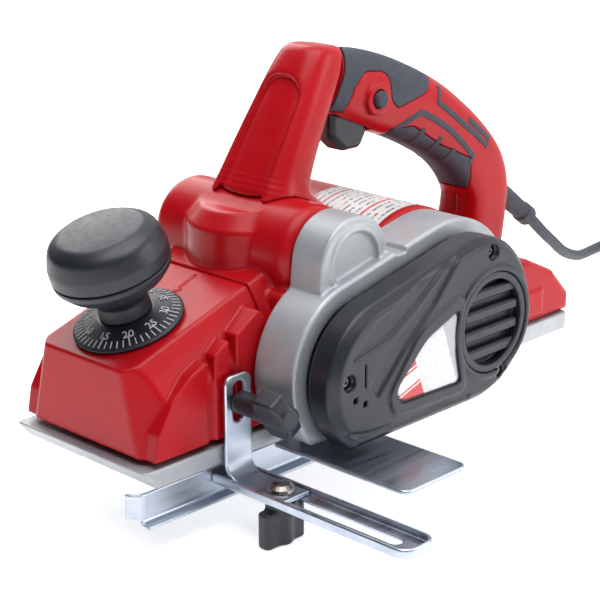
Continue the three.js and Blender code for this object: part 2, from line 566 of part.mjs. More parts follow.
// ---------------------------------------------------------------- handle
// Stations along a limb: centre x and z, direction of the limb in degrees, half height and half width.
function limb(stations, inset = 0, power = 2.6, count = 16) {
  const bend = (v) => Math.sign(v) * Math.abs(v) ** (2 / power);
  return lofted(stations.map(([x, z, degrees, tall, wide]) => {
    const turn = THREE.MathUtils.degToRad(degrees);
    return [...Array(count).keys()].map((i) => {
      const t = (i / count) * 2 * Math.PI;
      const up = (tall - inset) * bend(Math.sin(t)), out = (wide - inset) * bend(Math.cos(t));
      return new THREE.Vector3(x - up * Math.sin(turn), out, z + up * Math.cos(turn));
    });
  }));
}

const outerHandle = (inset = 0) => limb(GRIP, inset).add(limb(COLUMN, inset));
const innerHandle = () => {
  const hollow = (stations, from, to) => limb(stations.slice(from, to), WALL);
  return hollow(GRIP, 1, 11).add(hollow(COLUMN, 0, 7));
};

// Side view of the front piece: it is parted from the grip along a line down the column's back.
const frontSide = (grow) => outline(grown([
  [90, 90], [200, 90], [181, 128], [178, 142], [185, 166], [203, 204], [212, 225], [90, 225]], grow));

const triggerShape = (grow) => outline(grown([
  [196, 170], [196, 154, 5], [208, 143.5, 6], [223, 143.5, 5], [229, 153, 4], [222, 170]], grow));

// Side view of the soft saddle behind the column, cut round the lock button.
const saddleSide = (grow) => outline(grown([
  [203, 230], [190, 172], [200, 170], [206, 184, 6], [216, 193, 8], [238, 190, 10], [240, 172, 6],
  [246, 166, 3], [274, 172, 8], [292, 190], [280, 230]], grow));
// Side view of the soft strip under the grip.
const underSide = (grow) => outline(grown([
  [244, 140], [244, 152], [262, 152, 10], [290, 135, 30], [318, 122], [322, 100]], grow));

// The room of a soft piece seen from the side, down to a depth below the grip's surface.
const skinRoom = (side, grow, depth) => prismY(side(grow), -30, 30).subtract(outerHandle(depth));
const skin = (side) => largest(
  skinRoom(side, 0, SKIN - GAP).intersect(outerHandle()).subtract(prismY(frontSide(GAP), -60, 60)));

function handleShell(side) {
  const space = side < 0 ? box(100, 420, -GAP / 2, 60, 0, 260) : box(100, 420, -60, GAP / 2, 0, 260);
  const sweep = [0, TRIGGER.travel / 2, TRIGGER.travel].map((turn) => triggerAt(turn, 0.8));
  const lockHole = rodY(LOCK.x, LOCK.z, LOCK.r + 0.4, -40, 0);
  const ring = side < 0
    ? rodY(LOCK.x, LOCK.z, LOCK.boss, -20.5, -10).subtract(lockHole) : undefined;
  const shell = outerHandle().subtract(innerHandle())
    .subtract(prismY(frontSide(GAP), -60, 60))
    .subtract(skinRoom(saddleSide, GAP, SKIN)).subtract(skinRoom(underSide, GAP, SKIN))
    .subtract(mainForm(GAP)).subtract(rearForm(GAP))
    .subtract(union(...sweep)).subtract(lockHole).subtract(reliefRoom()).subtract(space);
  return ring ? shell.add(ring) : shell;
}

const handleFront = () =>
  outerHandle().subtract(innerHandle()).intersect(prismY(frontSide(0), -60, 60))
    .subtract(mainForm(GAP)).subtract(triggerAt(0, 0.8));

function triggerAt(turn, grow) {
  const [x, z] = TRIGGER.pivot;
  const width = TRIGGER.halfWidth + (grow ? 0.5 : 0);
  return prismY(triggerShape(grow), -width, width)
    .translate([-x, 0, -z]).rotate([0, -turn, 0]).translate([x, 0, z]);
}

const lockButton = () => union(
  rodY(LOCK.x, LOCK.z, LOCK.r, -23.5, -12), rodY(LOCK.x, LOCK.z, LOCK.r - 2, -12.5, -7));

const switchBody = () => box(236, 262, -8, 8, 158, 174);

// ---------------------------------------------------------------- strain relief and lead
const reliefAxis = new THREE.Vector3(...RELIEF.to).sub(new THREE.Vector3(...RELIEF.from)).normalize();
const reliefLength = new THREE.Vector3(...RELIEF.to).distanceTo(new THREE.Vector3(...RELIEF.from));

const relief = () => turned([[0, 0], [8.2, 0], [8.2, 5], [6.4, 6], [7.2, reliefLength - 9],
  [7.2, reliefLength - 6], [9, reliefLength - 4], [8.6, reliefLength], [0, reliefLength]],
RELIEF.from, reliefAxis);
const reliefRoom = () =>
  turned([[0, -8], [8.8, -8], [8.8, reliefLength], [0, reliefLength]], RELIEF.from, reliefAxis);

function tube(points, radius, sides, steps) {
  const path = new THREE.CatmullRomCurve3(points.map((p) => new THREE.Vector3(...p)), false, "centripetal");
  const section = new THREE.Shape([...Array(sides).keys()].map((i) => {
    const turn = (i / sides) * 2 * Math.PI;
    return new THREE.Vector2(radius * Math.cos(turn), radius * Math.sin(turn));
  }));
  return solidOf(new THREE.ExtrudeGeometry(section, { steps, extrudePath: path, bevelEnabled: false }));
}

const coil = () => {
  const { x, y, inner, outer, height } = COIL;
  return turned([[inner, 4], [inner + 4, 0], [outer - 4, 0], [outer, 4], [outer, height - 4],
    [outer - 4, height],
    [inner + 4, height], [inner, height - 4], [inner, 4]], [x, y, GROUND + 0.1],
    new THREE.Vector3(0, 0, 1), ROUND.large);
};

const plug = () => {
  const { back, front, y, z, halfWidth, halfHeight } = PLUG;
  const neck = 5.4;
  const top = outline([[back, y - neck], [back, y + neck], [back - 12, y + neck + 1, 6],
    [back - 20, y + halfWidth, 6],
    [front, y + halfWidth, 3], [front, y - halfWidth, 3], [back - 20, y - halfWidth, 6],
    [back - 12, y - neck - 1, 6]]);
  const sideView = outline([[back, z - neck], [back, z + neck], [back - 12, z + neck + 1, 6],
    [back - 20, z + halfHeight, 5], [front, z + halfHeight, 3], [front, z - halfHeight, 3],
    [back - 20, z - halfHeight, 5], [back - 12, z - neck - 1, 6]]);
  return prismZ(top, z - 20, z + 20).intersect(prismY(sideView, y - 30, y + 30));
};

const plugPin = (side) => {
  const { front, y, z, pin, pinLength } = PLUG;
  return turned([[0, 0], [pin, 0], [pin, pinLength - 2], [pin - 1, pinLength], [0, pinLength]],
    [front - GAP, y + side * 9.5, z], new THREE.Vector3(-1, 0, 0), ROUND.coarse);
};

// ---------------------------------------------------------------- parallel fence
function bracket() {
  const { width, thickness: t, face, top, bend, end, slot } = BRACKET;
  const low = ARM.bottom + ARM.wall + GAP;
  const profile = outline([[face, top], [face, low, bend + t], [end, low], [end, low + t],
    [face - t, low + t, bend], [face - t, top]]);
  const rounded = outline([[CLAMP.x - width / 2, low - 1], [CLAMP.x + width / 2, low - 1],
    [CLAMP.x + width / 2, top, 5], [CLAMP.x - width / 2, top, 5]]);
  const slotShape = outline([
    [CLAMP.x - slot / 2, CLAMP.z - 12, slot / 2], [CLAMP.x + slot / 2, CLAMP.z - 12, slot / 2],
    [CLAMP.x + slot / 2, CLAMP.z + 12, slot / 2], [CLAMP.x - slot / 2, CLAMP.z + 12, slot / 2]]);
  return prismX(profile, CLAMP.x - width / 2, CLAMP.x + width / 2)
    .intersect(prismY(rounded, end - 1, 0)).subtract(prismY(slotShape, face - t - 1, face + 1))
    .subtract(rodZ(CLAMP.x, WING.y, BOLT.r + FIT, -20, 20));
}

function clampScrew() {
  const { x, z, r, barrel, start, end } = CLAMP;
  const { from, halfSpan, tilt, thickness } = CLAMP_WING;
  const plate = prismY(outline([[-halfSpan, -thickness / 2, 3.9], [halfSpan, -thickness / 2, 3.9],
    [halfSpan, thickness / 2, 3.9], [-halfSpan, thickness / 2, 3.9]]), end, from)
    .rotate([0, tilt, 0]).translate([x, 0, z]);
  const collarStart = BRACKET.face - BRACKET.thickness - GAP;
  return union(rodY(x, z, r, start, -38), rodY(x, z, 6, start - 0.1, collarStart),
    rodY(x, z, barrel, end, start), plate);
}

function fenceArm() {
  const { width, height, wall, bottom, end, slot } = ARM;
  const [x0, x1] = [CLAMP.x - width / 2, CLAMP.x + width / 2];
  const start = FENCE.y - FENCE.thickness / 2 - GAP;
  const channel = prismY(outline([[x0, bottom, 1.5], [x1, bottom, 1.5], [x1, bottom + height],
    [x1 - wall, bottom + height], [x1 - wall, bottom + wall], [x0 + wall, bottom + wall],
    [x0 + wall, bottom + height], [x0, bottom + height]]), end, start);
  const ends = outline([[x0, end, 3], [x1, end, 3], [x1, start], [x0, start]]);
  const opening = outline([[CLAMP.x - slot / 2, end + 7.5, slot / 2],
    [CLAMP.x + slot / 2, end + 7.5, slot / 2],
    [CLAMP.x + slot / 2, start - 18, slot / 2], [CLAMP.x - slot / 2, start - 18, slot / 2]]);
  return channel.intersect(prismZ(ends, -40, 40)).subtract(prismZ(opening, -40, 40));
}

function fence() {
  const { front, length, y, thickness: t, top, drop, lip, leadIn } = FENCE;
  const bottom = top - drop;
  const profile = outline([[y - t / 2, top], [y + t / 2, top], [y + t / 2, bottom, 4],
    [y - lip, bottom - 1],
    [y - lip, bottom - 1 + t], [y - t / 2, bottom + t, 3]]);
  const wall = prismX(profile, front, front + length);
  const leads = [front, front + length].map((x, i) => {
    const turn = i ? 1 : -1;
    return prismZ(outline([[x - turn, y - t / 2], [x + turn * 1.5, y - t / 2, 2],
      [x + turn * (leadIn - 2), y + leadIn],
      [x + turn * (leadIn - 4), y + leadIn + 1], [x + turn, y + t / 2, 2], [x - turn, y + t / 2]]),
      bottom + 4, top);
  });
  return union(wall, ...leads);
}

function bolt() {
  const seat = ARM.bottom + ARM.wall + GAP + BRACKET.thickness + GAP;
  const foot = GROUND + BOLT.clear;
  return turned([[0, foot], [BOLT.r, foot], [BOLT.r, seat], [BOLT.head, seat],
    [BOLT.head - 0.8, seat + 1.6],
    [BOLT.head - 3, seat + BOLT.rise - 1], [0, seat + BOLT.rise]], [CLAMP.x, WING.y, 0],
  new THREE.Vector3(0, 0, 1));
}

function wingKnob() {
  const { y, neck, neckLength, length, halfSpan, thickness } = WING;
  const top = ARM.bottom - GAP, wing = top - neckLength;
  const blade = prismX(outline([[-halfSpan, -length, 3], [halfSpan, -length, 3], [halfSpan - 1, 0, 4],
    [1 - halfSpan, 0, 4]]), -thickness / 2, thickness / 2)
    .rotate([0, 0, -62]).translate([CLAMP.x, y, wing]);
  return union(rodZ(CLAMP.x, y, neck, wing - 3, top), blade)
    .subtract(rodZ(CLAMP.x, y, BOLT.r + FIT, GROUND + BOLT.clear - GAP, top + 1));
}

// ---------------------------------------------------------------- side plate and small pieces
function sidePlate() {
  const { x: [x0, x1], y: [y0, y1], z: [z0, z1], corner } = PLATE;
  const shape = outline([[x0, y0, corner], [x1, y0, corner], [x1, y1], [x0, y1]]);
  return prismZ(shape, z0, z1).subtract(union(...PLATE_POSTS.map((x) =>
    rodZ(x, PLATE_POST_Y, 2 + FIT, z0 - 1, z1 + 1, ROUND.small))));
}
// A spacer post and its screw are one turned piece that seats in the casting's lower wall.
const plateScrew = (x) => {
  const head = PLATE.z[0] - 0.6;
  return turned([[0, head], [4, head], [4, head + 0.3], [2, head + 0.3], [2, PLATE.z[1] + GAP],
    [5, PLATE.z[1] + GAP], [5, COVER.bottom - GAP], [0, COVER.bottom - GAP]],
  [x, PLATE_POST_Y, 0], new THREE.Vector3(0, 0, 1), ROUND.small);
};

function ratingLabel() {
  const r = MOTOR.shell + GAP;
  const shape = new THREE.Shape();
  shape.absarc(MOTOR.x, MOTOR.z, r + 0.5, 1.42, 2.05, false);
  shape.absarc(MOTOR.x, MOTOR.z, r, 2.05, 1.42, true);
  shape.closePath();
  return prismY(shape, -50, 12);
}

// ---------------------------------------------------------------- assembly
part("front_shoe", frontShoe(), castAluminium);
part("rear_shoe", rearShoe(), castAluminium);
part("front_cover", frontCover(), redPlastic);
part("main_housing", mainHousing(), redPlastic);
part("rear_housing", rearHousing(), redPlastic);
part("side_casting", sideCasting(), castAluminium);
part("right_plate", rightPlate(), castAluminium);

part("belt_cover", beltCover(), darkPlastic);
part("cover_grille", grille(), darkPlastic);
part("cover_label", prismY(labelShape(0), COVER.face + 0.3, COVER.face + 0.9), paper);
COVER_SCREWS.forEach(([x, z], i) => part(`cover_screw_${i + 1}`, coverScrew(x, z), steel));

part("cutter_drum", drum(), steel);
for (const [i, side] of [1, -1].entries()) {
  part(`knife_${i + 1}`, knifeBar(side, 0, KNIFE.thickness, DRUM.width / 2), zincSteel);
  part(`knife_clamp_${i + 1}`, knifeClamp(side), steel);
}
part("drum_bearing_left", bearing(DRUM, DRUM_BEARING, DRUM.shaft, ...LEFT_BEARING), steel);
part("drum_bearing_right", bearing(DRUM, DRUM_BEARING, DRUM.shaft, ...RIGHT_BEARING), steel);
part("drum_pulley", pulley(DRUM, PULLEY.drum, DRUM.shaft), darkPlastic);
part("motor_pulley", pulley(MOTOR, PULLEY.motor, MOTOR.shaft), darkPlastic);
part("drive_belt", belt(), rubber);
part("motor_bearing_left", bearing(MOTOR, MOTOR_BEARING.left, MOTOR.shaft, ...LEFT_BEARING), steel);
part("motor_bearing_right", bearing(MOTOR, MOTOR_BEARING.right, MOTOR.shaft, HOUSING_SIDE - 8.5,
  HOUSING_SIDE - 3), steel);
part("motor_stator", stator(), steel);
part("motor_armature", armature(), copper);

part("dial", dial(), darkPlastic);
part("knob_lower", knobLower(), darkPlastic);
part("knob_top", knobTop(), darkPlastic);
part("depth_spindle", spindle(), steel);

part("handle_front", largest(handleFront()), redPlastic);
part("handle_left", largest(handleShell(-1)), redPlastic);
part("handle_right", largest(handleShell(1)), redPlastic);
part("grip_saddle", skin(saddleSide), rubber);
part("grip_underside", skin(underSide), rubber);
part("trigger", triggerAt(0, 0).subtract(prismY(frontSide(GAP), -60, 60)), darkPlastic);
part("lock_button", lockButton(), darkPlastic);
part("switch_body", switchBody(), darkPlastic);
part("rating_label", ratingLabel(), paper);

part("strain_relief", relief(), rubber);
part("cord_lead", tube(LEAD, CORD_DIAMETER / 2, 8, 24), rubber);
part("cord_coil", coil(), rubber);
part("cord_tail", tube(TAIL, CORD_DIAMETER / 2, 8, 4), rubber);
part("plug", plug(), rubber);
for (const [i, side] of [-1, 1].entries()) part(`plug_pin_${i + 1}`, plugPin(side), zincSteel);

part("fence", fence(), zincSteel);
part("fence_arm", fenceArm(), zincSteel);
part("fence_bracket", bracket(), zincSteel);
part("clamp_screw", clampScrew(), darkPlastic);
part("fence_bolt", bolt(), steel);
part("wing_knob", wingKnob(), darkPlastic);
part("side_plate", sidePlate(), zincSteel);
PLATE_POSTS.forEach((x, i) => part(`plate_screw_${i + 1}`, plateScrew(x), zincSteel));

export default tool;
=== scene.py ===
"""Electric hand planer: the visual model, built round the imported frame.

Forms are drawn in millimetres on the tool's own axes: x runs back from the front edge of the sole, y to the
tool's right and z up from the sole. Every finished mesh is moved into the frame's metres.
"""
from __future__ import annotations

import logging
import math
from collections.abc import Callable, Sequence
from dataclasses import dataclass, field
from enum import Enum

import bmesh
import bpy
import numpy as np
from mathutils import Matrix, Vector


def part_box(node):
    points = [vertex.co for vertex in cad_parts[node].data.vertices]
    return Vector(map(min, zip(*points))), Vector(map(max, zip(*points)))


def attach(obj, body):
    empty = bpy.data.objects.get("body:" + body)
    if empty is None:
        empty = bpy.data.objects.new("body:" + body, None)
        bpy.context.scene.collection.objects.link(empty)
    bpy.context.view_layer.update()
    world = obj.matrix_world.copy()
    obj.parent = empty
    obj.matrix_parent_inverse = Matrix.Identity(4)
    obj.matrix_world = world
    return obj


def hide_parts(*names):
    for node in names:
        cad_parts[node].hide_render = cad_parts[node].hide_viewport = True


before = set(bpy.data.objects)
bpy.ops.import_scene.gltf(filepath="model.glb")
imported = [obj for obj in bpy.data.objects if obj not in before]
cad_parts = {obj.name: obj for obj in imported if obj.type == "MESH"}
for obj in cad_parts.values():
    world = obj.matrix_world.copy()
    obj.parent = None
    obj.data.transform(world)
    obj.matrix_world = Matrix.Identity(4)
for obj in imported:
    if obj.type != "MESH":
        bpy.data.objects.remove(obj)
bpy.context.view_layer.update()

log = logging.getLogger("planer")

MM = 0.001
SOLE_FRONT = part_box("front_shoe")[0].x  # the frame's x at the front edge of the sole
GROUND = min(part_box("wing_knob")[0].z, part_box("cord_coil")[0].z)
SLOPE = math.radians(18)  # of the front cover's top
COVER_FRONT = 6.0
COVER_REAR = 96.0
COVER_TOP = 62.5
HOUSING_SIDE = 57.0
HOUSING_FLOOR = 14.5
SOLE_HALF = 56.0
KNOB_BASE = (41.0, 0.0, 73.87)
CASTING_INSIDE = -57.3
# centres of the round parts, as [x, z]
DRUM = (133, 31)
MOTOR = (218, 60)
DUCT = (137, 103)
CAST_BOSS = (138, 104)
GRILLE = (225, 55)
CLAMP = (66.5, 36)
WING = (66.5, -93)  # as [x, y]
LEAD_LEVEL = -34.0  # height of the lead's centreline on the ground
WINDING_OUT = 60.6  # radius of the coil's last turn

Point = Sequence[float]
Array = np.ndarray


def to_frame(points: Array) -> Array:
    """Returns points in the tool's millimetres as points in the frame's metres."""
    return np.asarray(points, dtype=float) * MM + (SOLE_FRONT, 0.0, 0.0)


# ------------------------------------------------------------------------------------------ forms
class Axis(Enum):
    """An axis of the tool, by its place in a point."""

    X = 0
    Y = 1
    Z = 2

    def others(self) -> list[int]:
        """Returns the places of the two other axes, in order."""
        return [i for i in range(3) if i != self.value]


class Form:
    """A solid form, held as its signed distance: negative inside."""

    def __init__(self, distance: Callable[[Array], Array]) -> None:
        """Keeps the function that gives each point's distance."""
        self.distance = distance

    def __call__(self, points: Array) -> Array:
        """Returns the signed distance of each point."""
        return self.distance(points)

    def join(self, other: Form, fillet: float = 0.0) -> Form:
        """Returns this form and another together, with a fillet where they meet."""
        return Form(lambda p: -soft_max(-self(p), -other(p), fillet))

    def meet(self, other: Form, edge: float = 0.0) -> Form:
        """Returns what this form and another share, with its new edges rounded."""
        return Form(lambda p: soft_max(self(p), other(p), edge))

    def cut(self, other: Form, edge: float = 0.0) -> Form:
        """Returns this form less another, with its new edges rounded."""
        return Form(lambda p: soft_max(self(p), -other(p), edge))

    def bevel_meet(self, other: Form, bevel: float, edge: float = 0.8) -> Form:
        """Returns what two forms share, with a flat bevel along their common edge."""
        def distance(p: Array) -> Array:
            """Returns the distance to both forms and to the bevel between them."""
            a, b = self(p), other(p)
            return soft_max(soft_max(a, b, edge), (a + b + bevel) * math.sqrt(0.5), edge)
        return Form(distance)

    def grown(self, by: float) -> Form:
        """Returns this form with its surface moved out by a distance."""
        return Form(lambda p: self(p) - by)

    def both_sides(self) -> Form:
        """Returns this form drawn on the left side, mirrored to the right side too."""
        def distance(p: Array) -> Array:
            """Returns the distance with every point folded over to the left side."""
            folded = p.copy()
            folded[:, 1] = -np.abs(folded[:, 1])
            return self(folded)
        return Form(distance)


def soft_max(a: Array, b: Array, edge: float) -> Array:
    """Returns the larger of two distances, blended over an edge's width."""
    if edge <= 0.0:
        return np.maximum(a, b)
    overlap = np.maximum(edge - np.abs(a - b), 0.0)
    return np.maximum(a, b) + overlap * overlap / (4.0 * edge)


def rounded(across: Array, along: Array, edge: float) -> Array:
    """Returns the distance to a rod-like form from its two half distances, with its rims rounded."""
    a, b = across + edge, along + edge
    return np.minimum(np.maximum(a, b), 0.0) + np.hypot(np.maximum(a, 0.0), np.maximum(b, 0.0)) - edge


def half_space(point: Point, normal: Point) -> Form:
    """Returns everything behind a plane, away from its normal."""
    n = np.asarray(normal, dtype=float)
    n = n / np.linalg.norm(n)
    offset = float(n @ np.asarray(point, dtype=float))
    return Form(lambda p: p @ n - offset)


def block(low: Point, high: Point, edge: float = 0.8) -> Form:
    """Returns a box with rounded edges, from its two far corners."""
    centre = (np.asarray(low, dtype=float) + high) / 2.0
    half = (np.asarray(high, dtype=float) - low) / 2.0 - edge

    def distance(p: Array) -> Array:
        """Returns the distance to the rounded box."""
        q = np.abs(p - centre) - half
        return np.linalg.norm(np.maximum(q, 0.0), axis=1) + np.minimum(q.max(axis=1), 0.0) - edge
    return Form(distance)


def rod(axis: Axis, centre: Point, radius: float, low: float, high: float, edge: float = 0.8) -> Form:
    """Returns a cylinder along an axis.

    Args:
        axis: the direction it runs in.
        centre: its place in the two other axes.
        radius: its radius.
        low: where it starts along the axis.
        high: where it ends.
        edge: how far its rims are rounded.

    Returns:
        The cylinder.
    """
    i, j = axis.others()
    middle, half = (low + high) / 2.0, (high - low) / 2.0

    def distance(p: Array) -> Array:
        """Returns the distance to the cylinder."""
        across = np.hypot(p[:, i] - centre[0], p[:, j] - centre[1]) - radius
        return rounded(across, np.abs(p[:, axis.value] - middle) - half, edge)
    return Form(distance)


def disc(centre: Point, normal: Array, radius: float, half: float, edge: float) -> Form:
    """Returns a flat disc that leans.

    Args:
        centre: the disc's middle.
        normal: the direction of its axis, of length 1.
        radius: its radius.
        half: half its thickness.
        edge: how far its rims are rounded.

    Returns:
        The disc.
    """
    def distance(p: Array) -> Array:
        """Returns the distance to the disc."""
        off = p - np.asarray(centre)
        along = off @ normal
        across = np.linalg.norm(off - along[:, None] * normal, axis=1) - radius
        return rounded(across, np.abs(along) - half, edge)
    return Form(distance)


def outline(corners: Sequence[Point], steps: int = 6) -> Array:
    """Draws a closed line with rounded corners.

    Args:
        corners: places [a, b] or [a, b, radius].
        steps: how many steps each arc has.

    Returns:
        The line's points.
    """
    points: list[Array] = []
    count = len(corners)
    for i, corner in enumerate(corners):
        here = np.array(corner[:2], dtype=float)
        radius = corner[2] if len(corner) > 2 else 0.0
        if radius <= 0.0:
            points.append(here)
            continue
        back = np.array(corners[i - 1][:2], dtype=float) - here
        ahead = np.array(corners[(i + 1) % count][:2], dtype=float) - here
        back /= np.linalg.norm(back)
        ahead /= np.linalg.norm(ahead)
        half = math.acos(float(np.clip(back @ ahead, -1.0, 1.0))) / 2.0
        centre = here + (back + ahead) / np.linalg.norm(back + ahead) * radius / math.sin(half)
        start = here + back * radius / math.tan(half) - centre
        end = here + ahead * radius / math.tan(half) - centre
        sweep = math.pi - 2.0 * half
        for k in range(steps + 1):
            t = k / steps
            points.append(centre + (start * math.sin((1 - t) * sweep) + end * math.sin(t * sweep)) / math.sin(sweep))
    return np.array(points)


class Plan:
    """A flat closed line, with a table of distances to it for quick reading."""

    PITCH = 0.4
    MARGIN = 14.0

    def __init__(self, corners: Sequence[Point] | Array) -> None:
        """Rounds the corners and fills the table of distances."""
        line = outline(corners) if not isinstance(corners, np.ndarray) else corners
        self.low = line.min(axis=0) - self.MARGIN
        self.count = np.ceil((line.max(axis=0) + self.MARGIN - self.low) / self.PITCH).astype(int) + 1
        axes = [self.low[k] + np.arange(self.count[k]) * self.PITCH for k in (0, 1)]
        spots = np.stack(np.meshgrid(*axes, indexing="ij"), axis=-1).reshape(-1, 2)
        self.table = self.exact(spots, line).reshape(self.count)

    @staticmethod
    def exact(spots: Array, line: Array) -> Array:
        """Returns each spot's signed distance to the line, side by side."""
        nearest = np.full(len(spots), np.inf)
        inside = np.zeros(len(spots), dtype=bool)
        u, v = spots[:, 0], spots[:, 1]
        for a, b in zip(line, np.roll(line, -1, axis=0)):
            side = b - a
            length = float(side @ side)
            if length < 1e-12:
                continue
            t = np.clip(((u - a[0]) * side[0] + (v - a[1]) * side[1]) / length, 0.0, 1.0)
            nearest = np.minimum(nearest, (u - a[0] - t * side[0]) ** 2 + (v - a[1] - t * side[1]) ** 2)
            if a[1] != b[1]:
                spans = (a[1] <= v) != (b[1] <= v)
                inside ^= spans & (u < a[0] + (v - a[1]) * side[0] / side[1])
        return np.where(inside, -1.0, 1.0) * np.sqrt(nearest)

    def __call__(self, u: Array, v: Array) -> Array:
        """Returns the signed distance at each place, read from the table."""
        a = np.clip((u - self.low[0]) / self.PITCH, 0.0, self.count[0] - 1.001)
        b = np.clip((v - self.low[1]) / self.PITCH, 0.0, self.count[1] - 1.001)
        i, j = a.astype(int), b.astype(int)
        s, t = a - i, b - j
        low = self.table[i, j] * (1 - s) + self.table[i + 1, j] * s
        high = self.table[i, j + 1] * (1 - s) + self.table[i + 1, j + 1] * s
        beyond = np.hypot(u - self.low[0] - a * self.PITCH, v - self.low[1] - b * self.PITCH)
        return low * (1 - t) + high * t + beyond


def prism(axis: Axis, corners: Sequence[Point] | Array, low: float, high: float, edge: float = 0.8) -> Form:
    """Returns a prism along an axis.

    Args:
        axis: the direction it runs in.
        corners: its outline in the two other axes, as outline() takes it, or the finished line.
        low: where it starts along the axis.
        high: where it ends.
        edge: how far its rims are rounded.

    Returns:
        The prism.
    """
    plan = Plan(corners)
    i, j = axis.others()
    middle, half = (low + high) / 2.0, (high - low) / 2.0
    return Form(lambda p: rounded(plan(p[:, i], p[:, j]), np.abs(p[:, axis.value] - middle) - half, edge))


def silhouette(corners: Sequence[Point] | Array) -> Form:
    """Returns an endless form across the tool, from its outline seen from the side."""
    plan = Plan(corners)
    return Form(lambda p: plan(p[:, 0], p[:, 2]))


@dataclass(frozen=True)
class Station:
    """A cross-section of a limb that lies in the tool's middle plane."""

    x: float
    z: float
    tall: float  # half height, square to the limb
    wide: float  # half width
    power: float = 2.6  # 2 is an ellipse; more is squarer


class Limb:
    """A form swept along smooth stations in the middle plane, with a flat cut at each end."""

    def __init__(self, stations: Sequence[Station], steps: int = 5) -> None:
        """Draws a smooth centreline through the stations."""
        rows = np.array([[s.x, s.z, s.tall, s.wide, s.power] for s in stations])
        rows = np.vstack([2 * rows[0] - rows[1], rows, 2 * rows[-1] - rows[-2]])
        self.rows = np.array([
            self.between(rows[i - 1:i + 3], k / steps)
            for i in range(1, len(rows) - 2) for k in range(steps)] + [rows[-2]])

    @staticmethod
    def between(rows: Array, t: float) -> Array:
        """Returns the smooth value at t between the middle two of four rows."""
        a, b, c, d = rows
        return b + 0.5 * t * (c - a + t * (2 * a - 5 * b + 4 * c - d + t * (3 * (b - c) + d - a)))

    def __call__(self, p: Array) -> Array:
        """Returns an estimate of each point's distance that is close to true near the surface."""
        best = np.full(len(p), np.inf)
        up, beyond = np.zeros(len(p)), np.zeros(len(p))
        sizes = np.zeros((3, len(p)))
        last = len(self.rows) - 2
        for i, (a, b) in enumerate(zip(self.rows, self.rows[1:])):
            side = b[:2] - a[:2]
            length = float(np.hypot(*side))
            along = ((p[:, 0] - a[0]) * side[0] + (p[:, 2] - a[1]) * side[1]) / length
            t = np.clip(along / length, 0.0, 1.0)
            off = (p[:, 2] - a[1]) * side[0] / length - (p[:, 0] - a[0]) * side[1] / length
            gap = np.hypot(off, along - t * length)
            near = gap < best
            best = np.where(near, gap, best)
            up = np.where(near, np.sign(off) * gap if 0 < i < last else off, up)
            past = np.zeros(len(p))
            if i == 0:
                past = np.maximum(past, -along)
            if i == last:
                past = np.maximum(past, along - length)
            beyond = np.where(near, past, beyond)
            for k in range(3):
                sizes[k] = np.where(near, a[2 + k] + t * (b[2 + k] - a[2 + k]), sizes[k])
        tall, wide, power = np.maximum(sizes[0], 0.5), np.maximum(sizes[1], 0.5), sizes[2]
        h, w = np.abs(up) / tall, np.abs(p[:, 1]) / wide
        reach = np.maximum((h ** power + w ** power) ** (1.0 / power), 1e-6)
        steep = reach ** (1.0 - power) * np.hypot(h ** (power - 1) / tall, w ** (power - 1) / wide)
        side = np.where(reach > 0.35, (reach - 1.0) / np.maximum(steep, 1e-4), -0.6 * np.minimum(tall, wide))
        return np.where(beyond > 0.0, np.hypot(np.maximum(side, 0.0), beyond), side)


def limb(stations: Sequence[Station]) -> Form:
    """Returns the form swept through the stations."""
    return Form(Limb(stations))


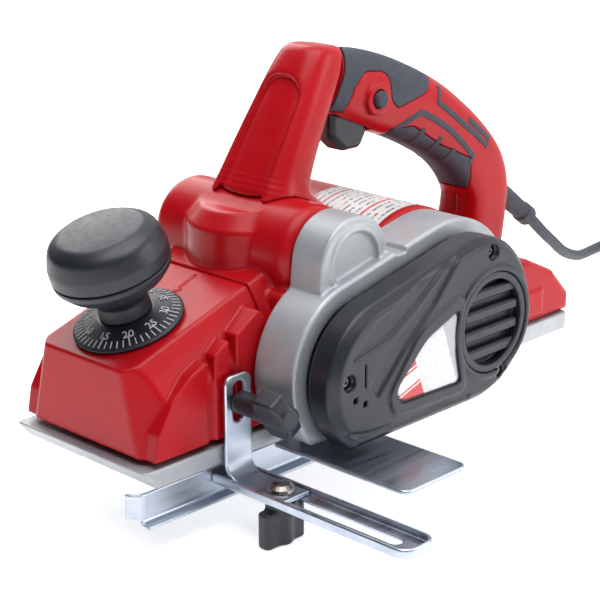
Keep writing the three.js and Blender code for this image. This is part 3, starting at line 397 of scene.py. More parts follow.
# ------------------------------------------------------------------------------------------ meshes
class Skinner:
    """Turns a form into an even quad mesh that lies exactly on its surface."""

    COARSE = 4  # fine cells along a coarse one
    CHUNK = 400_000

    def __init__(self, form: Form, low: Point, high: Point, pitch: float) -> None:
        """Lays a grid over the box from low to high, in millimetres."""
        self.form = form
        self.pitch = pitch * 1.0
        span = (np.asarray(high, dtype=float) - low + 2 * self.pitch) / self.pitch
        self.cells = (np.ceil(span / self.COARSE) * self.COARSE).astype(int)
        self.low = np.asarray(low, dtype=float) - self.pitch * np.array((1.0, 1.013, 1.021))

    def values(self, points: Array) -> Array:
        """Returns the form's distance at each point, worked out a part at a time."""
        parts = [self.form(points[i:i + self.CHUNK]) for i in range(0, len(points), self.CHUNK)]
        return np.concatenate(parts)

    def field(self) -> Array:
        """Returns the distance at every grid corner, exact where the surface is near."""
        wide = self.cells // self.COARSE
        corners = np.indices(wide + 1).reshape(3, -1).T
        coarse = self.values(self.low + corners * self.COARSE * self.pitch).reshape(wide + 1)
        reach = self.COARSE * self.pitch * 2.2
        near = np.abs(coarse) < reach
        cell = np.zeros(wide, dtype=bool)
        for shift in np.ndindex(2, 2, 2):
            cell |= near[tuple(slice(s, s + n) for s, n in zip(shift, wide))]
        fine = coarse
        mask = np.zeros(wide + 1, dtype=bool)
        for shift in np.ndindex(2, 2, 2):
            mask[tuple(slice(s, s + n) for s, n in zip(shift, wide))] |= cell
        for axis in range(3):
            fine = np.repeat(fine, self.COARSE, axis=axis)
            mask = np.repeat(mask, self.COARSE, axis=axis)
        keep = tuple(slice(0, n + 1) for n in self.cells)
        fine, mask = fine[keep].copy(), mask[keep]
        spots = np.argwhere(mask)
        fine[mask] = self.values(self.low + spots * self.pitch)
        return fine

    def mesh(self, name: str) -> bpy.types.Mesh:
        """Returns the finished mesh in the frame's metres."""
        values = self.field()
        inside = values < 0.0
        n = self.cells
        whole = [tuple(slice(s, s + k) for s, k in zip(shift, n)) for shift in np.ndindex(2, 2, 2)]
        count = sum(inside[w].astype(np.int8) for w in whole)
        active = (count > 0) & (count < 8)
        spots = np.argwhere(active)
        number = np.full(active.shape, -1, dtype=np.int64)
        number[active] = np.arange(len(spots))
        total, hits = np.zeros((len(spots), 3)), np.zeros(len(spots))
        for axis in range(3):
            step = np.eye(3, dtype=int)[axis]
            for shift in np.ndindex(2, 2, 2):
                if shift[axis]:
                    continue
                a = values[tuple((spots + shift).T)]
                b = values[tuple((spots + shift + step).T)]
                crossed = (a < 0.0) != (b < 0.0)
                t = np.where(crossed, a / np.where(crossed, a - b, 1.0), 0.0)
                total += np.where(crossed[:, None], np.array(shift) + t[:, None] * step, 0.0)
                hits += crossed
        vertices = self.low + (spots + total / hits[:, None]) * self.pitch
        vertices = self.settled(vertices)
        faces = np.concatenate([self.quads(inside, number, axis) for axis in range(3)])
        made = bpy.data.meshes.new(name)
        made.from_pydata(to_frame(vertices), [], faces)
        made.polygons.foreach_set("use_smooth", np.ones(len(faces), dtype=bool))
        made.update()
        return made

    def quads(self, inside: Array, number: Array, axis: int) -> Array:
        """Returns the quads round the grid edges along an axis that cross the surface."""
        a, b = [i for i in range(3) if i != axis]
        step = np.eye(3, dtype=int)
        core = tuple(slice(0, self.cells[k]) if k == axis else slice(1, self.cells[k]) for k in range(3))
        ahead = tuple(slice(1, self.cells[k] + 1) if k == axis else slice(1, self.cells[k]) for k in range(3))
        changed = inside[core] != inside[ahead]
        at = np.argwhere(changed) + (step[a] + step[b])
        ring = [number[tuple((at - shift).T)] for shift in (step[a] + step[b], step[b], 0 * step[a], step[a])]
        quads = np.stack(ring, axis=1)
        flip = inside[core][changed] ^ (axis == 1)
        quads[~flip] = quads[~flip][:, ::-1]
        return quads

    def settled(self, points: Array) -> Array:
        """Returns the points moved onto the form's true surface."""
        for _ in range(2):
            value = self.values(points)
            slope = np.empty_like(points)
            reach = 0.05 * self.pitch
            for axis in range(3):
                step = np.eye(3)[axis] * reach
                slope[:, axis] = (self.values(points + step) - self.values(points - step)) / (2 * reach)
            size = np.maximum((slope ** 2).sum(axis=1), 0.25)
            move = -(value / size)[:, None] * slope
            length = np.linalg.norm(move, axis=1, keepdims=True)
            points = points + move * np.minimum(1.0, 0.6 * self.pitch / np.maximum(length, 1e-9))
        return points


def turned(name: str, profile: Sequence[Point], place: Matrix, steps: int = 72) -> bpy.types.Mesh:
    """Turns a closed profile round an axis.

    Args:
        name: the mesh's name.
        profile: corners [radius, height] or [radius, height, rounding], in millimetres.
        place: where the axis stands, from the profile's millimetres to the tool's.
        steps: how many steps go round.

    Returns:
        The closed mesh, in the frame's metres.
    """
    line = outline(profile, 4)
    made = bmesh.new()
    rings = []
    for radius, height in line:
        turns = [0.0] if radius < 1e-4 else [2 * math.pi * k / steps for k in range(steps)]
        spots = [place @ Vector((radius * math.cos(t), radius * math.sin(t), height)) for t in turns]
        rings.append([made.verts.new(to_frame(spot)) for spot in spots])
    for a, b in zip(rings, rings[1:] + rings[:1]):
        for k in range(steps):
            corners = [a[k % len(a)], a[(k + 1) % len(a)], b[(k + 1) % len(b)], b[k % len(b)]]
            corners = list(dict.fromkeys(corners))
            if len(corners) > 2:
                made.faces.new(corners)
    bmesh.ops.recalc_face_normals(made, faces=made.faces)
    mesh = bpy.data.meshes.new(name)
    made.to_mesh(mesh)
    made.free()
    mesh.polygons.foreach_set("use_smooth", np.ones(len(mesh.polygons), dtype=bool))
    mesh.set_sharp_from_angle(angle=math.radians(38))
    return mesh


def upright(point: Point, axis: Point) -> Matrix:
    """Returns the place whose height runs along an axis from a point, in millimetres."""
    return Matrix.Translation(Vector(point)) @ Vector(axis).to_track_quat("Z", "Y").to_matrix().to_4x4()


# ------------------------------------------------------------------------------------------ finishes
class Net:
    """A material's nodes, with short names for the ones that every finish uses."""

    def __init__(self, name: str) -> None:
        """Starts a material with one shader."""
        self.material = bpy.data.materials.new(name)
        self.material.use_nodes = True
        self.nodes = self.material.node_tree.nodes
        self.links = self.material.node_tree.links
        self.shader = self.nodes["Principled BSDF"]
        self.spot = self.nodes.new("ShaderNodeTexCoord").outputs["Object"]

    def feed(self, socket: bpy.types.NodeSocket, value: object) -> None:
        """Links an output to a socket, or sets the socket's own value."""
        if isinstance(value, bpy.types.NodeSocket):
            self.links.new(value, socket)
        else:
            socket.default_value = value

    def noise(self, scale: float, detail: float = 3.0) -> bpy.types.NodeSocket:
        """Returns a soft random value in the object's space; scale is per metre."""
        node = self.nodes.new("ShaderNodeTexNoise")
        node.inputs["Scale"].default_value = scale
        node.inputs["Detail"].default_value = detail
        self.feed(node.inputs["Vector"], self.spot)
        return node.outputs["Fac"]

    def math(self, kind: str, a: object, b: object = 0.0) -> bpy.types.NodeSocket:
        """Returns a sum, product or comparison of two values."""
        node = self.nodes.new("ShaderNodeMath")
        node.operation = kind
        self.feed(node.inputs[0], a)
        self.feed(node.inputs[1], b)
        return node.outputs[0]

    def spread(self, value: object, low: float, high: float) -> bpy.types.NodeSocket:
        """Returns a noise value stretched between two limits."""
        node = self.nodes.new("ShaderNodeMapRange")
        self.feed(node.inputs["Value"], value)
        for name, number in (("From Min", 0.3), ("From Max", 0.7), ("To Min", low), ("To Max", high)):
            node.inputs[name].default_value = number
        return node.outputs[0]

    def mix(self, share: object, a: object, b: object) -> bpy.types.NodeSocket:
        """Returns a colour between two others."""
        node = self.nodes.new("ShaderNodeMix")
        node.data_type = "RGBA"
        self.feed(node.inputs["Factor"], share)
        self.feed(node.inputs[6], a)
        self.feed(node.inputs[7], b)
        return node.outputs[2]

    def bump(self, height: object, depth: float) -> None:
        """Gives the surface a relief of a depth in metres."""
        node = self.nodes.new("ShaderNodeBump")
        node.inputs["Strength"].default_value = 1.0
        node.inputs["Distance"].default_value = depth
        self.feed(node.inputs["Height"], height)
        self.links.new(node.outputs[0], self.shader.inputs["Normal"])

    def along(self, x: float, y: float, z: float) -> bpy.types.NodeSocket:
        """Returns how far each place lies along a direction, in metres."""
        node = self.nodes.new("ShaderNodeVectorMath")
        node.operation = "DOT_PRODUCT"
        self.feed(node.inputs[0], self.spot)
        node.inputs[1].default_value = (x, y, z)
        return node.outputs["Value"]


Colour = tuple[float, float, float]


@dataclass(frozen=True)
class Finish:
    """A surface with slow changes of colour, uneven gloss and a fine grain."""

    slot: str
    colour: Colour
    shade: Colour
    smooth: float  # lowest roughness
    rough: float  # highest roughness
    grain: float  # grains per metre
    depth: float  # height of the grain, in millimetres
    metal: float = 0.0
    coat: float = 0.0
    gloss: float = 0.5  # strength of the clear reflection
    streak: bool = False  # grain drawn out along the tool, as rolled or ground metal has

    def paint(self, net: Net) -> bpy.types.NodeSocket:
        """Returns the surface's colour."""
        return net.mix(net.spread(net.noise(45.0), 0.0, 1.0), (*self.colour, 1.0), (*self.shade, 1.0))

    def material(self) -> bpy.types.Material:
        """Returns the finish as a material, made once."""
        name = f"{self.slot}_finish"
        if name in bpy.data.materials:
            return bpy.data.materials[name]
        net = Net(name)
        if self.streak:
            node = net.nodes.new("ShaderNodeMapping")
            node.inputs["Scale"].default_value = (0.06, 1.0, 1.0)
            net.links.new(net.spot, node.inputs["Vector"])
            net.spot = node.outputs[0]
        net.feed(net.shader.inputs["Base Color"], self.paint(net))
        net.feed(net.shader.inputs["Roughness"], net.spread(net.noise(260.0), self.smooth, self.rough))
        net.shader.inputs["Metallic"].default_value = self.metal
        net.shader.inputs["Coat Weight"].default_value = self.coat
        net.shader.inputs["Specular IOR Level"].default_value = self.gloss
        net.shader.inputs["Coat Roughness"].default_value = 0.12
        net.bump(net.noise(self.grain, 2.0), self.depth * MM)
        return net.material


@dataclass(frozen=True)
class PrintedLabel(Finish):
    """A white label with grey lines for its small print and a red frame."""

    def paint(self, net: Net) -> bpy.types.NodeSocket:
        """Returns white, crossed by rows of broken grey lines."""
        rows = net.math("LESS_THAN", net.math("FRACT", net.along(0.0, 210.0, 0.0)), 0.34)
        words = net.math("GREATER_THAN", net.noise(420.0, 1.0), 0.5)
        print_ = net.math("MULTIPLY", rows, words)
        page = net.mix(print_, (*self.colour, 1.0), (0.10, 0.11, 0.13, 1.0))
        frame_line = net.math("LESS_THAN", net.math("FRACT", net.along(0.0, 30.0, 0.0)), 0.06)
        return net.mix(frame_line, page, (*self.shade, 1.0))


@dataclass(frozen=True)
class BandedPlate(Finish):
    """A name plate: a red part with a slanting pale band, then a pale part that ends in grey."""

    def paint(self, net: Net) -> bpy.types.NodeSocket:
        """Returns the plate's colours, laid out along and up the machine's side."""
        rear = -SOLE_FRONT / MM  # the frame's zero, in the tool's millimetres
        place = net.along(0.30, 0.0, -0.954)
        middle = (160.0 - rear) * MM * 0.30 - 41.5 * MM * 0.954
        off = net.math("ABSOLUTE", net.math("SUBTRACT", place, middle))
        band = net.math("LESS_THAN", off, 3.9 * MM)
        line = net.math("COMPARE", off, 5.6 * MM)
        line.node.inputs[2].default_value = 0.5 * MM
        red = net.mix(net.math("MAXIMUM", band, line), (*self.colour, 1.0), (0.74, 0.74, 0.75, 1.0))
        across = net.along(0.94, 0.0, 0.342)
        pale = net.math("GREATER_THAN", across, ((157.0 - rear) * 0.94 + 45.0 * 0.342) * MM)
        page = net.mix(net.math("GREATER_THAN", across, ((186.0 - rear) * 0.94 + 45.0 * 0.342) * MM),
                       (0.66, 0.66, 0.68, 1.0), (0.40, 0.41, 0.43, 1.0))
        return net.mix(pale, red, page)


RED = Finish("red_plastic", (0.44, 0.0035, 0.0090), (0.39, 0.0028, 0.0072), 0.28, 0.36, 1400.0, 0.004, coat=0.03,
             gloss=0.22)
DARK = Finish("dark_plastic", (0.013, 0.016, 0.024), (0.009, 0.011, 0.017), 0.34, 0.46, 1500.0, 0.02)
RUBBER = Finish("soft_rubber", (0.040, 0.046, 0.064), (0.030, 0.035, 0.050), 0.58, 0.75, 1800.0, 0.04)
CAST = Finish("cast_aluminium", (0.46, 0.48, 0.50), (0.40, 0.42, 0.45), 0.42, 0.58, 1100.0, 0.06, metal=0.55)
ZINC = Finish("zinc_steel", (0.55, 0.60, 0.68), (0.42, 0.47, 0.56), 0.26, 0.42, 700.0, 0.012, metal=1.0,
              streak=True)
STEEL = Finish("hard_steel", (0.36, 0.34, 0.33), (0.22, 0.20, 0.19), 0.22, 0.42, 900.0, 0.02, metal=1.0)
COPPER = Finish("copper_winding", (0.72, 0.30, 0.14), (0.50, 0.18, 0.08), 0.25, 0.45, 1500.0, 0.08, metal=1.0)
LABEL = PrintedLabel("printed_label", (0.66, 0.66, 0.66), (0.60, 0.02, 0.03), 0.30, 0.40, 1200.0, 0.005)
PLATE = BandedPlate("name_plate", (0.60, 0.010, 0.020), (0.50, 0.01, 0.02), 0.22, 0.32, 1200.0, 0.005, coat=0.4)
MARKING = Finish("marking", (0.62, 0.64, 0.67), (0.52, 0.54, 0.57), 0.45, 0.55, 1500.0, 0.005)
SIGNAL = Finish("signal", (0.55, 0.03, 0.02), (0.48, 0.02, 0.02), 0.35, 0.45, 1500.0, 0.01)
FINISHES = {f.slot: f for f in (RED, DARK, RUBBER, CAST, ZINC, STEEL, COPPER, LABEL)}


@dataclass
class Piece:
    """A finished piece of the visual model and what it stands for."""

    mesh: bpy.types.Mesh
    name: str
    finish: Finish
    body: str = "body"
    nodes: tuple[str, ...] = ()

    def build(self) -> bpy.types.Object:
        """Puts the piece in the scene, dressed and riding on its body."""
        made = bpy.data.objects.new(self.name, self.mesh)
        bpy.context.collection.objects.link(made)
        self.mesh.materials.clear()
        self.mesh.materials.append(self.finish.material())
        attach(made, self.body)
        if self.nodes:
            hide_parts(*self.nodes)
        log.info("%s: %d faces, rides on %s", self.name, len(self.mesh.polygons), self.body)
        return made


def moulded(name: str, form: Form, low: Point, high: Point, pitch: float, finish: Finish, node: str = "",
            body: str = "body") -> None:
    """Skins a form and puts it in the scene.

    Args:
        name: the piece's name.
        form: its form.
        low: the low corner of the room it fills, in millimetres.
        high: the high corner of that room.
        pitch: the size of its faces, in millimetres.
        finish: what it wears.
        node: the solid that it stands for, if any.
        body: the body that it rides on.
    """
    Piece(Skinner(form, low, high, pitch).mesh(name), name, finish, body, (node,) if node else ()).build()


class Repeater:
    """A Geometry Nodes tree that sets copies of a shape in a row or a ring."""

    INPUTS = (("Copies", "NodeSocketInt"), ("Shape", "NodeSocketObject"), ("Start", "NodeSocketVector"),
              ("Step", "NodeSocketVector"), ("Turn", "NodeSocketVector"), ("Finish", "NodeSocketMaterial"))

    def __init__(self) -> None:
        """Builds the tree."""
        self.tree = bpy.data.node_groups.new("repeated_shape", "GeometryNodeTree")
        sockets = self.tree.interface
        self.keys = {n: sockets.new_socket(n, in_out="INPUT", socket_type=t).identifier for n, t in self.INPUTS}
        sockets.new_socket("Geometry", in_out="OUTPUT", socket_type="NodeSocketGeometry")
        add, link = self.tree.nodes.new, self.tree.links.new
        given, result = add("NodeGroupInput"), add("NodeGroupOutput")
        points, index = add("GeometryNodePoints"), add("GeometryNodeInputIndex")
        shape, copies = add("GeometryNodeObjectInfo"), add("GeometryNodeInstanceOnPoints")
        realised, dressed = add("GeometryNodeRealizeInstances"), add("GeometryNodeSetMaterial")
        placed, turned_by = add("ShaderNodeVectorMath"), add("ShaderNodeVectorMath")
        placed.operation, turned_by.operation = "MULTIPLY_ADD", "SCALE"
        link(given.outputs["Copies"], points.inputs["Count"])
        link(index.outputs[0], placed.inputs[0])
        link(given.outputs["Step"], placed.inputs[1])
        link(given.outputs["Start"], placed.inputs[2])
        link(placed.outputs[0], points.inputs["Position"])
        link(given.outputs["Turn"], turned_by.inputs[0])
        link(index.outputs[0], turned_by.inputs["Scale"])
        link(given.outputs["Shape"], shape.inputs["Object"])
        link(points.outputs[0], copies.inputs["Points"])
        link(shape.outputs["Geometry"], copies.inputs["Instance"])
        link(turned_by.outputs[0], copies.inputs["Rotation"])
        link(copies.outputs[0], realised.inputs[0])
        link(realised.outputs[0], dressed.inputs["Geometry"])
        link(given.outputs["Finish"], dressed.inputs["Material"])
        link(dressed.outputs[0], result.inputs[0])

    def mesh(self, name: str, shape: bpy.types.Mesh, copies: int, finish: Finish, place: Matrix,
             start: Point = (0, 0, 0), step: Point = (0, 0, 0), turn: Point = (0, 0, 0)) -> bpy.types.Mesh:
        """Sets out the copies.

        Args:
            name: the new mesh's name.
            shape: the shape to repeat, in millimetres about its own origin.
            copies: how many there are.
            finish: the finish they wear.
            place: where the whole set stands, in the tool's millimetres.
            start: the first copy's place within the set.
            step: from one copy to the next.
            turn: the angles from one copy to the next, in radians.

        Returns:
            One plain mesh, in the frame's metres.
        """
        pattern = bpy.data.objects.new(f"{name}_pattern", shape)
        carrier = bpy.data.objects.new(f"{name}_carrier", bpy.data.meshes.new(f"{name}_empty"))
        for made in (pattern, carrier):
            bpy.context.collection.objects.link(made)
        modifier = carrier.modifiers.new("copies", "NODES")
        modifier.node_group = self.tree
        values = {"Copies": copies, "Shape": pattern, "Start": start, "Step": step, "Turn": turn,
                  "Finish": finish.material()}
        for key, value in values.items():
            modifier[self.keys[key]] = [float(v) for v in value] if key in ("Start", "Step", "Turn") else value
        carrier.update_tag()
        bpy.context.view_layer.update()
        depsgraph = bpy.context.evaluated_depsgraph_get()
        mesh = bpy.data.meshes.new_from_object(carrier.evaluated_get(depsgraph))
        mesh.name = name
        carrier.modifiers.remove(modifier)
        bpy.data.objects.remove(carrier)
        bpy.data.objects.remove(pattern)
        mesh.transform(Matrix.Translation((SOLE_FRONT, 0, 0)) @ Matrix.Scale(MM, 4) @ place)
        return mesh


def bar(size: Point, centre: Point = (0, 0, 0), bevel: float = 0.3) -> bpy.types.Mesh:
    """Returns a bar with bevelled edges, in millimetres."""
    made = bmesh.new()
    bmesh.ops.create_cube(made, size=1.0)
    bmesh.ops.scale(made, vec=Vector(size), verts=made.verts)
    bmesh.ops.translate(made, vec=Vector(centre), verts=made.verts)
    bmesh.ops.bevel(made, geom=made.edges[:], offset=bevel, segments=1, affect="EDGES")
    mesh = bpy.data.meshes.new("bar")
    made.to_mesh(mesh)
    made.free()
    return mesh


# ------------------------------------------------------------------------------------------ studio
@dataclass
class Studio:
    """The pale floor, the soft lights and the camera."""

    lens: float = 106.406
    eye: Point = (-561.5, -721.07, 394.08)  # in the tool's millimetres
    azimuth: float = -0.7974178
    height: float = 0.3177165
    roll: float = -0.004368

    def camera(self) -> None:
        """Sets the camera at its station."""
        a, h = self.azimuth, self.height
        right = Vector((math.cos(a), math.sin(a), 0.0))
        back = Vector((math.sin(a) * math.cos(h), -math.cos(a) * math.cos(h), math.sin(h)))
        up = back.cross(right)
        c, s = math.cos(self.roll), math.sin(self.roll)
        turn = Matrix((c * right + s * up, c * up - s * right, back)).transposed().to_4x4()
        data = bpy.data.cameras.new("camera")
        data.lens, data.sensor_width = self.lens, 36.0
        made = bpy.data.objects.new("camera", data)
        made.matrix_world = Matrix.Translation(Vector(to_frame(self.eye))) @ turn
        bpy.context.collection.objects.link(made)
        bpy.context.scene.camera = made

    def lamp(self, name: str, place: Point, aim: Point, size: float, power: float) -> None:
        """Adds a square soft light.

        Args:
            name: its name.
            place: where it stands, in the frame's metres.
            aim: the place it points at.
            size: the length of its side, in metres.
            power: its power, in watts.
        """
        data = bpy.data.lights.new(name, "AREA")
        data.size, data.energy = size, power
        made = bpy.data.objects.new(name, data)
        direction = Vector(aim) - Vector(place)
        made.matrix_world = Matrix.Translation(place) @ direction.to_track_quat("-Z", "Y").to_matrix().to_4x4()
        bpy.context.collection.objects.link(made)

    def floor(self) -> None:
        """Lays the pale floor."""
        net = Net("floor_finish")
        tint = net.mix(net.noise(3.0), (0.93, 0.93, 0.93, 1.0), (0.90, 0.90, 0.91, 1.0))
        net.feed(net.shader.inputs["Base Color"], tint)
        net.shader.inputs["Roughness"].default_value = 0.9
        net.shader.inputs["Emission Color"].default_value = (1.0, 1.0, 1.0, 1.0)
        net.shader.inputs["Emission Strength"].default_value = 0.55
        made = bmesh.new()
        bmesh.ops.create_grid(made, x_segments=1, y_segments=1, size=9.0)
        bmesh.ops.translate(made, vec=Vector((0, 0, GROUND)), verts=made.verts)
        mesh = bpy.data.meshes.new("floor")
        made.to_mesh(mesh)
        made.free()
        mesh.materials.append(net.material)
        floor = bpy.data.objects.new("floor", mesh)
        bpy.context.collection.objects.link(floor)

    def world(self) -> None:
        """Sets the light all round: dark ahead of the tool and below, bright above and behind."""
        world = bpy.data.worlds.new("studio_world")
        world.use_nodes = True
        add, link = world.node_tree.nodes.new, world.node_tree.links.new
        backdrop = world.node_tree.nodes["Background"]
        backdrop.inputs["Color"].default_value = (1.0, 1.0, 1.0, 1.0)
        toward, where, fade = add("ShaderNodeVectorMath"), add("ShaderNodeTexCoord"), add("ShaderNodeMapRange")
        toward.operation = "DOT_PRODUCT"
        toward.inputs[1].default_value = (0.72, -0.05, 0.69)
        for name, value in (("From Min", 0.0), ("From Max", 0.95), ("To Min", 0.03), ("To Max", 1.05)):
            fade.inputs[name].default_value = value
        link(where.outputs["Generated"], toward.inputs[0])
        link(toward.outputs["Value"], fade.inputs["Value"])
        link(fade.outputs[0], backdrop.inputs["Strength"])
        bpy.context.scene.world = world

    def build(self) -> None:
        """Makes the whole studio."""
        self.camera()
        self.lamp("top_light", (-0.25, -0.25, 1.5), (0.0, 0.0, 0.0), 1.3, 21.0)
        self.lamp("left_light", (-1.4, -1.0, 0.9), (-0.05, 0.0, 0.05), 0.9, 0.8)
        self.lamp("right_light", (0.9, -1.4, 0.7), (0.0, 0.0, 0.05), 0.8, 8.0)
        self.lamp("back_light", (0.5, 1.5, 1.1), (0.0, 0.0, 0.1), 1.2, 14.0)
        self.floor()
        self.world()
        bpy.context.scene.view_settings.view_transform = "Standard"


@dataclass
class Lead:
    """The mains lead: from the strain relief, along the ground, into its coil and on to the plug."""

    radius: float = 4.0
    start: tuple[Point, ...] = (
        (405.3, 0, 61.7), (411, 0, 57.5), (430, 4, 44), (452, 11, 31), (478, 22, 17), (512, 38, 3),
        (550, 57, -10), (592, 80, -22), (630, 98, -30.5), (660, 107, -34), (690, 109.6, -34), (714.8, 110.2, -34))
    end: tuple[Point, ...] = ((706, -10.6, -32.6), (697, -10.6, -29), (688.6, -10.6, -28.2))
    centre: Point = (718.0, 50.0)
    # the winding: angle in degrees, radius and height of each change
    winding: tuple[Point, ...] = (
        (93, 60.3, -34), (-93, 52, -34), (-993, 32, -34), (-1083, 32, -26), (-1983, 52, -26), (-2073, 52, -18),
        (-2113, 52, -18), (-2173, 60.6, -18), (-2253, 60.6, -34))
    length: float = 2.2

    def route(self) -> Array:
        """Returns the lead's centreline in the tool's millimetres."""
        rows = np.array([self.start[0], *self.start, self.start[-1]], dtype=float)
        line = [Limb.between(rows[i - 1:i + 3], t) for i in range(1, len(rows) - 2) for t in (0, 0.33, 0.67)]
        for (a, r, z), (b, s, w) in zip(self.winding, self.winding[1:]):
            steps = max(4, round(abs(b - a) / 15))
            for k in range(steps):
                t = k / steps
                ease = t if abs(b - a) > 500 else t * t * (3 - 2 * t)
                turn, out = math.radians(a + (b - a) * t), r + (s - r) * ease
                line.append((self.centre[0] + out * math.cos(turn), self.centre[1] + out * math.sin(turn),
                             z + (w - z) * ease))
        last = math.radians(self.winding[-1][0])
        line.append((self.centre[0] + WINDING_OUT * math.cos(last), self.centre[1] + WINDING_OUT * math.sin(last),
                     LEAD_LEVEL))
        return to_frame(np.vstack([line, self.end]))

    def build(self) -> bpy.types.Object:
        """Makes the lead as one curve and its plug as a moulded form."""
        points = self.route()
        curve = bpy.data.curves.new("mains_lead", "CURVE")
        curve.dimensions = "3D"
        curve.bevel_depth = self.radius * MM
        curve.bevel_resolution = 4
        curve.use_fill_caps = True
        spline = curve.splines.new("POLY")
        spline.points.add(len(points) - 1)
        for target, point in zip(spline.points, points):
            target.co = (*point, 1.0)
        curve.materials.append(RUBBER.material())
        made = bpy.data.objects.new("mains_lead", curve)
        bpy.context.collection.objects.link(made)
        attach(made, "body")
        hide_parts("cord_lead", "cord_coil", "cord_tail")
        plug = Piece(self.plug(), "mains_plug", RUBBER, nodes=("plug",)).build()
        total = float(np.linalg.norm(np.diff(points, axis=0), axis=1).sum())
        log.info("mains lead: %.3f m along its line", total)
        return made

    def plug(self) -> bpy.types.Mesh:
        """Returns the moulded plug, waisted for the fingers, with its sleeve."""
        y, z = -10.6, -28.0
        shape = [(646, -15, 3), (646, 15, 3), (664, 15, 8), (672, 10, 8), (681, 8.5, 4), (688, 5.5, 2),
                 (688, -5.5, 2), (681, -8.5, 4), (672, -10, 8), (664, -15, 8)]
        body = prism(Axis.Z, [(a, y + b, c) for a, b, c in shape], z - 9.0, z + 9.0, 3.0)
        for k in range(4):
            x = 668.0 + 3.4 * k
            body = body.cut(block((x, y + 9 - k * 0.6, z - 7), (x + 1.2, y + 20, z + 7), 0.3), 0.4)
            body = body.cut(block((x, y - 20, z - 7), (x + 1.2, y - 9 + k * 0.6, z + 7), 0.3), 0.4)
        return Skinner(body, (644, y - 17, z - 10), (690, y + 17, z + 10), 0.9).mesh("mains_plug")


# ------------------------------------------------------------------------------------------ pieces
def sloped(across: float, drop: float, out: float, rise: float) -> Form:
    """Returns what lies under a facet of the sloping shoulder on the left side.

    Args:
        across: distance from the middle of a line on the facet.
        drop: how far that line lies under the sloping top.
        out: the facet's normal, sideways.
        rise: the facet's normal, upwards.

    Returns:
        The half space under the facet, which runs along the slope.
    """
    return half_space((COVER_FRONT, -across, COVER_TOP - drop), (-math.tan(SLOPE) * rise, -out, rise))


def shoulders(front: float, rear: float, floor: float = HOUSING_FLOOR) -> Form:
    """Returns the faceted front body between two places along the tool."""
    form = block((front, -54, floor), (rear, 54, 150), 1.6)
    form = form.meet(sloped(0, 0, 0, 1), 1.6)
    left = sloped(40, 0, 7, 3.5).meet(sloped(43.5, 7, 13, 10.5), 1.4)
    corner = half_space((COVER_FRONT, -38, 40), (-1, -1, 0.25))
    return form.meet(left.both_sides(), 1.4).meet(corner.both_sides(), 1.4)


def tangent_outline(grow: float) -> Array:
    """Draws the belt cover's outline: two arcs, the tangent over them and a flat foot.

    Args:
        grow: how far the outline is moved out; below zero moves it in.

    Returns:
        The closed line's points, seen from the side.
    """
    (x1, z1, r1), (x2, z2, r2) = (133, 45, 45 + grow), (214, 58, 50 + grow)
    bottom = 8 - min(grow, 0.0)
    top = math.atan2(z2 - z1, x2 - x1) + math.acos((r1 - r2) / math.hypot(x2 - x1, z2 - z1))
    rear, front = math.asin((bottom - z2) / r2), math.pi - math.asin((bottom - z1) / r1)
    ends = ((x2, z2, r2, rear, top), (x1, z1, r1, top, front))
    return np.array([(x + r * math.cos(a), z + r * math.sin(a)) for x, z, r, p, q in ends
                     for a in np.linspace(p, q, 48)])


def ribbon(path: Sequence[Point], width: float) -> Array:
    """Draws a flat ribbon along a path.

    Args:
        path: places along its middle.
        width: how wide it is.

    Returns:
        The closed line round it.
    """
    line = np.array(path, dtype=float)
    along = np.gradient(line, axis=0)
    off = np.stack([-along[:, 1], along[:, 0]], axis=1) / np.linalg.norm(along, axis=1)[:, None] * width / 2
    return np.vstack([line + off, (line - off)[::-1]])


COVER_SCREWS = ((224, 98), (101, 50), (235, 21))
COVER_FACE = -112.0
CASTING_EDGE = -88.0


class Soles:
    """The two ground shoes that the tool slides on."""

    def shoe(self, start: float, end: float, front: float, rear: float) -> Form:
        """Returns a flat shoe between two places, with its corner radii at the front and the rear."""
        return prism(Axis.Z, [(start, -SOLE_HALF, front), (end, -SOLE_HALF, rear), (end, SOLE_HALF, rear),
                              (start, SOLE_HALF, front)], 0, 11, 0.7)

    def build(self) -> None:
        """Makes the front shoe and the rear shoe."""
        drum_gap = 32.5
        front = self.shoe(0, 111, 5, 0).meet(half_space((0, 0, 11.5), (-11.5, 0, -9.7)), 1.0)
        front = front.cut(prism(Axis.X, [(3, -1), (6, 3), (9, -1)], -5, 130, 0.2), 0.3)
        front = front.cut(rod(Axis.Y, DRUM, drum_gap, -48, 48, 0.3), 0.4)
        moulded("front_sole", front, (-2, -58, -1), (118, 58, 12), 1.0, CAST, "front_shoe", "shoe")
        rear = self.shoe(153, 380, 0, 5).cut(rod(Axis.Y, DRUM, drum_gap, -60, 60, 0.3), 0.4)
        low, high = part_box("rear_shoe")
        rear = rear.join(block((168, -50, 8), (372, 50, min(14.2, (high.z - low.z) / MM)), 1.0), 0.5)
        moulded("rear_sole", rear, (150, -58, -1), (382, 58, 15), 1.2, CAST, "rear_shoe")


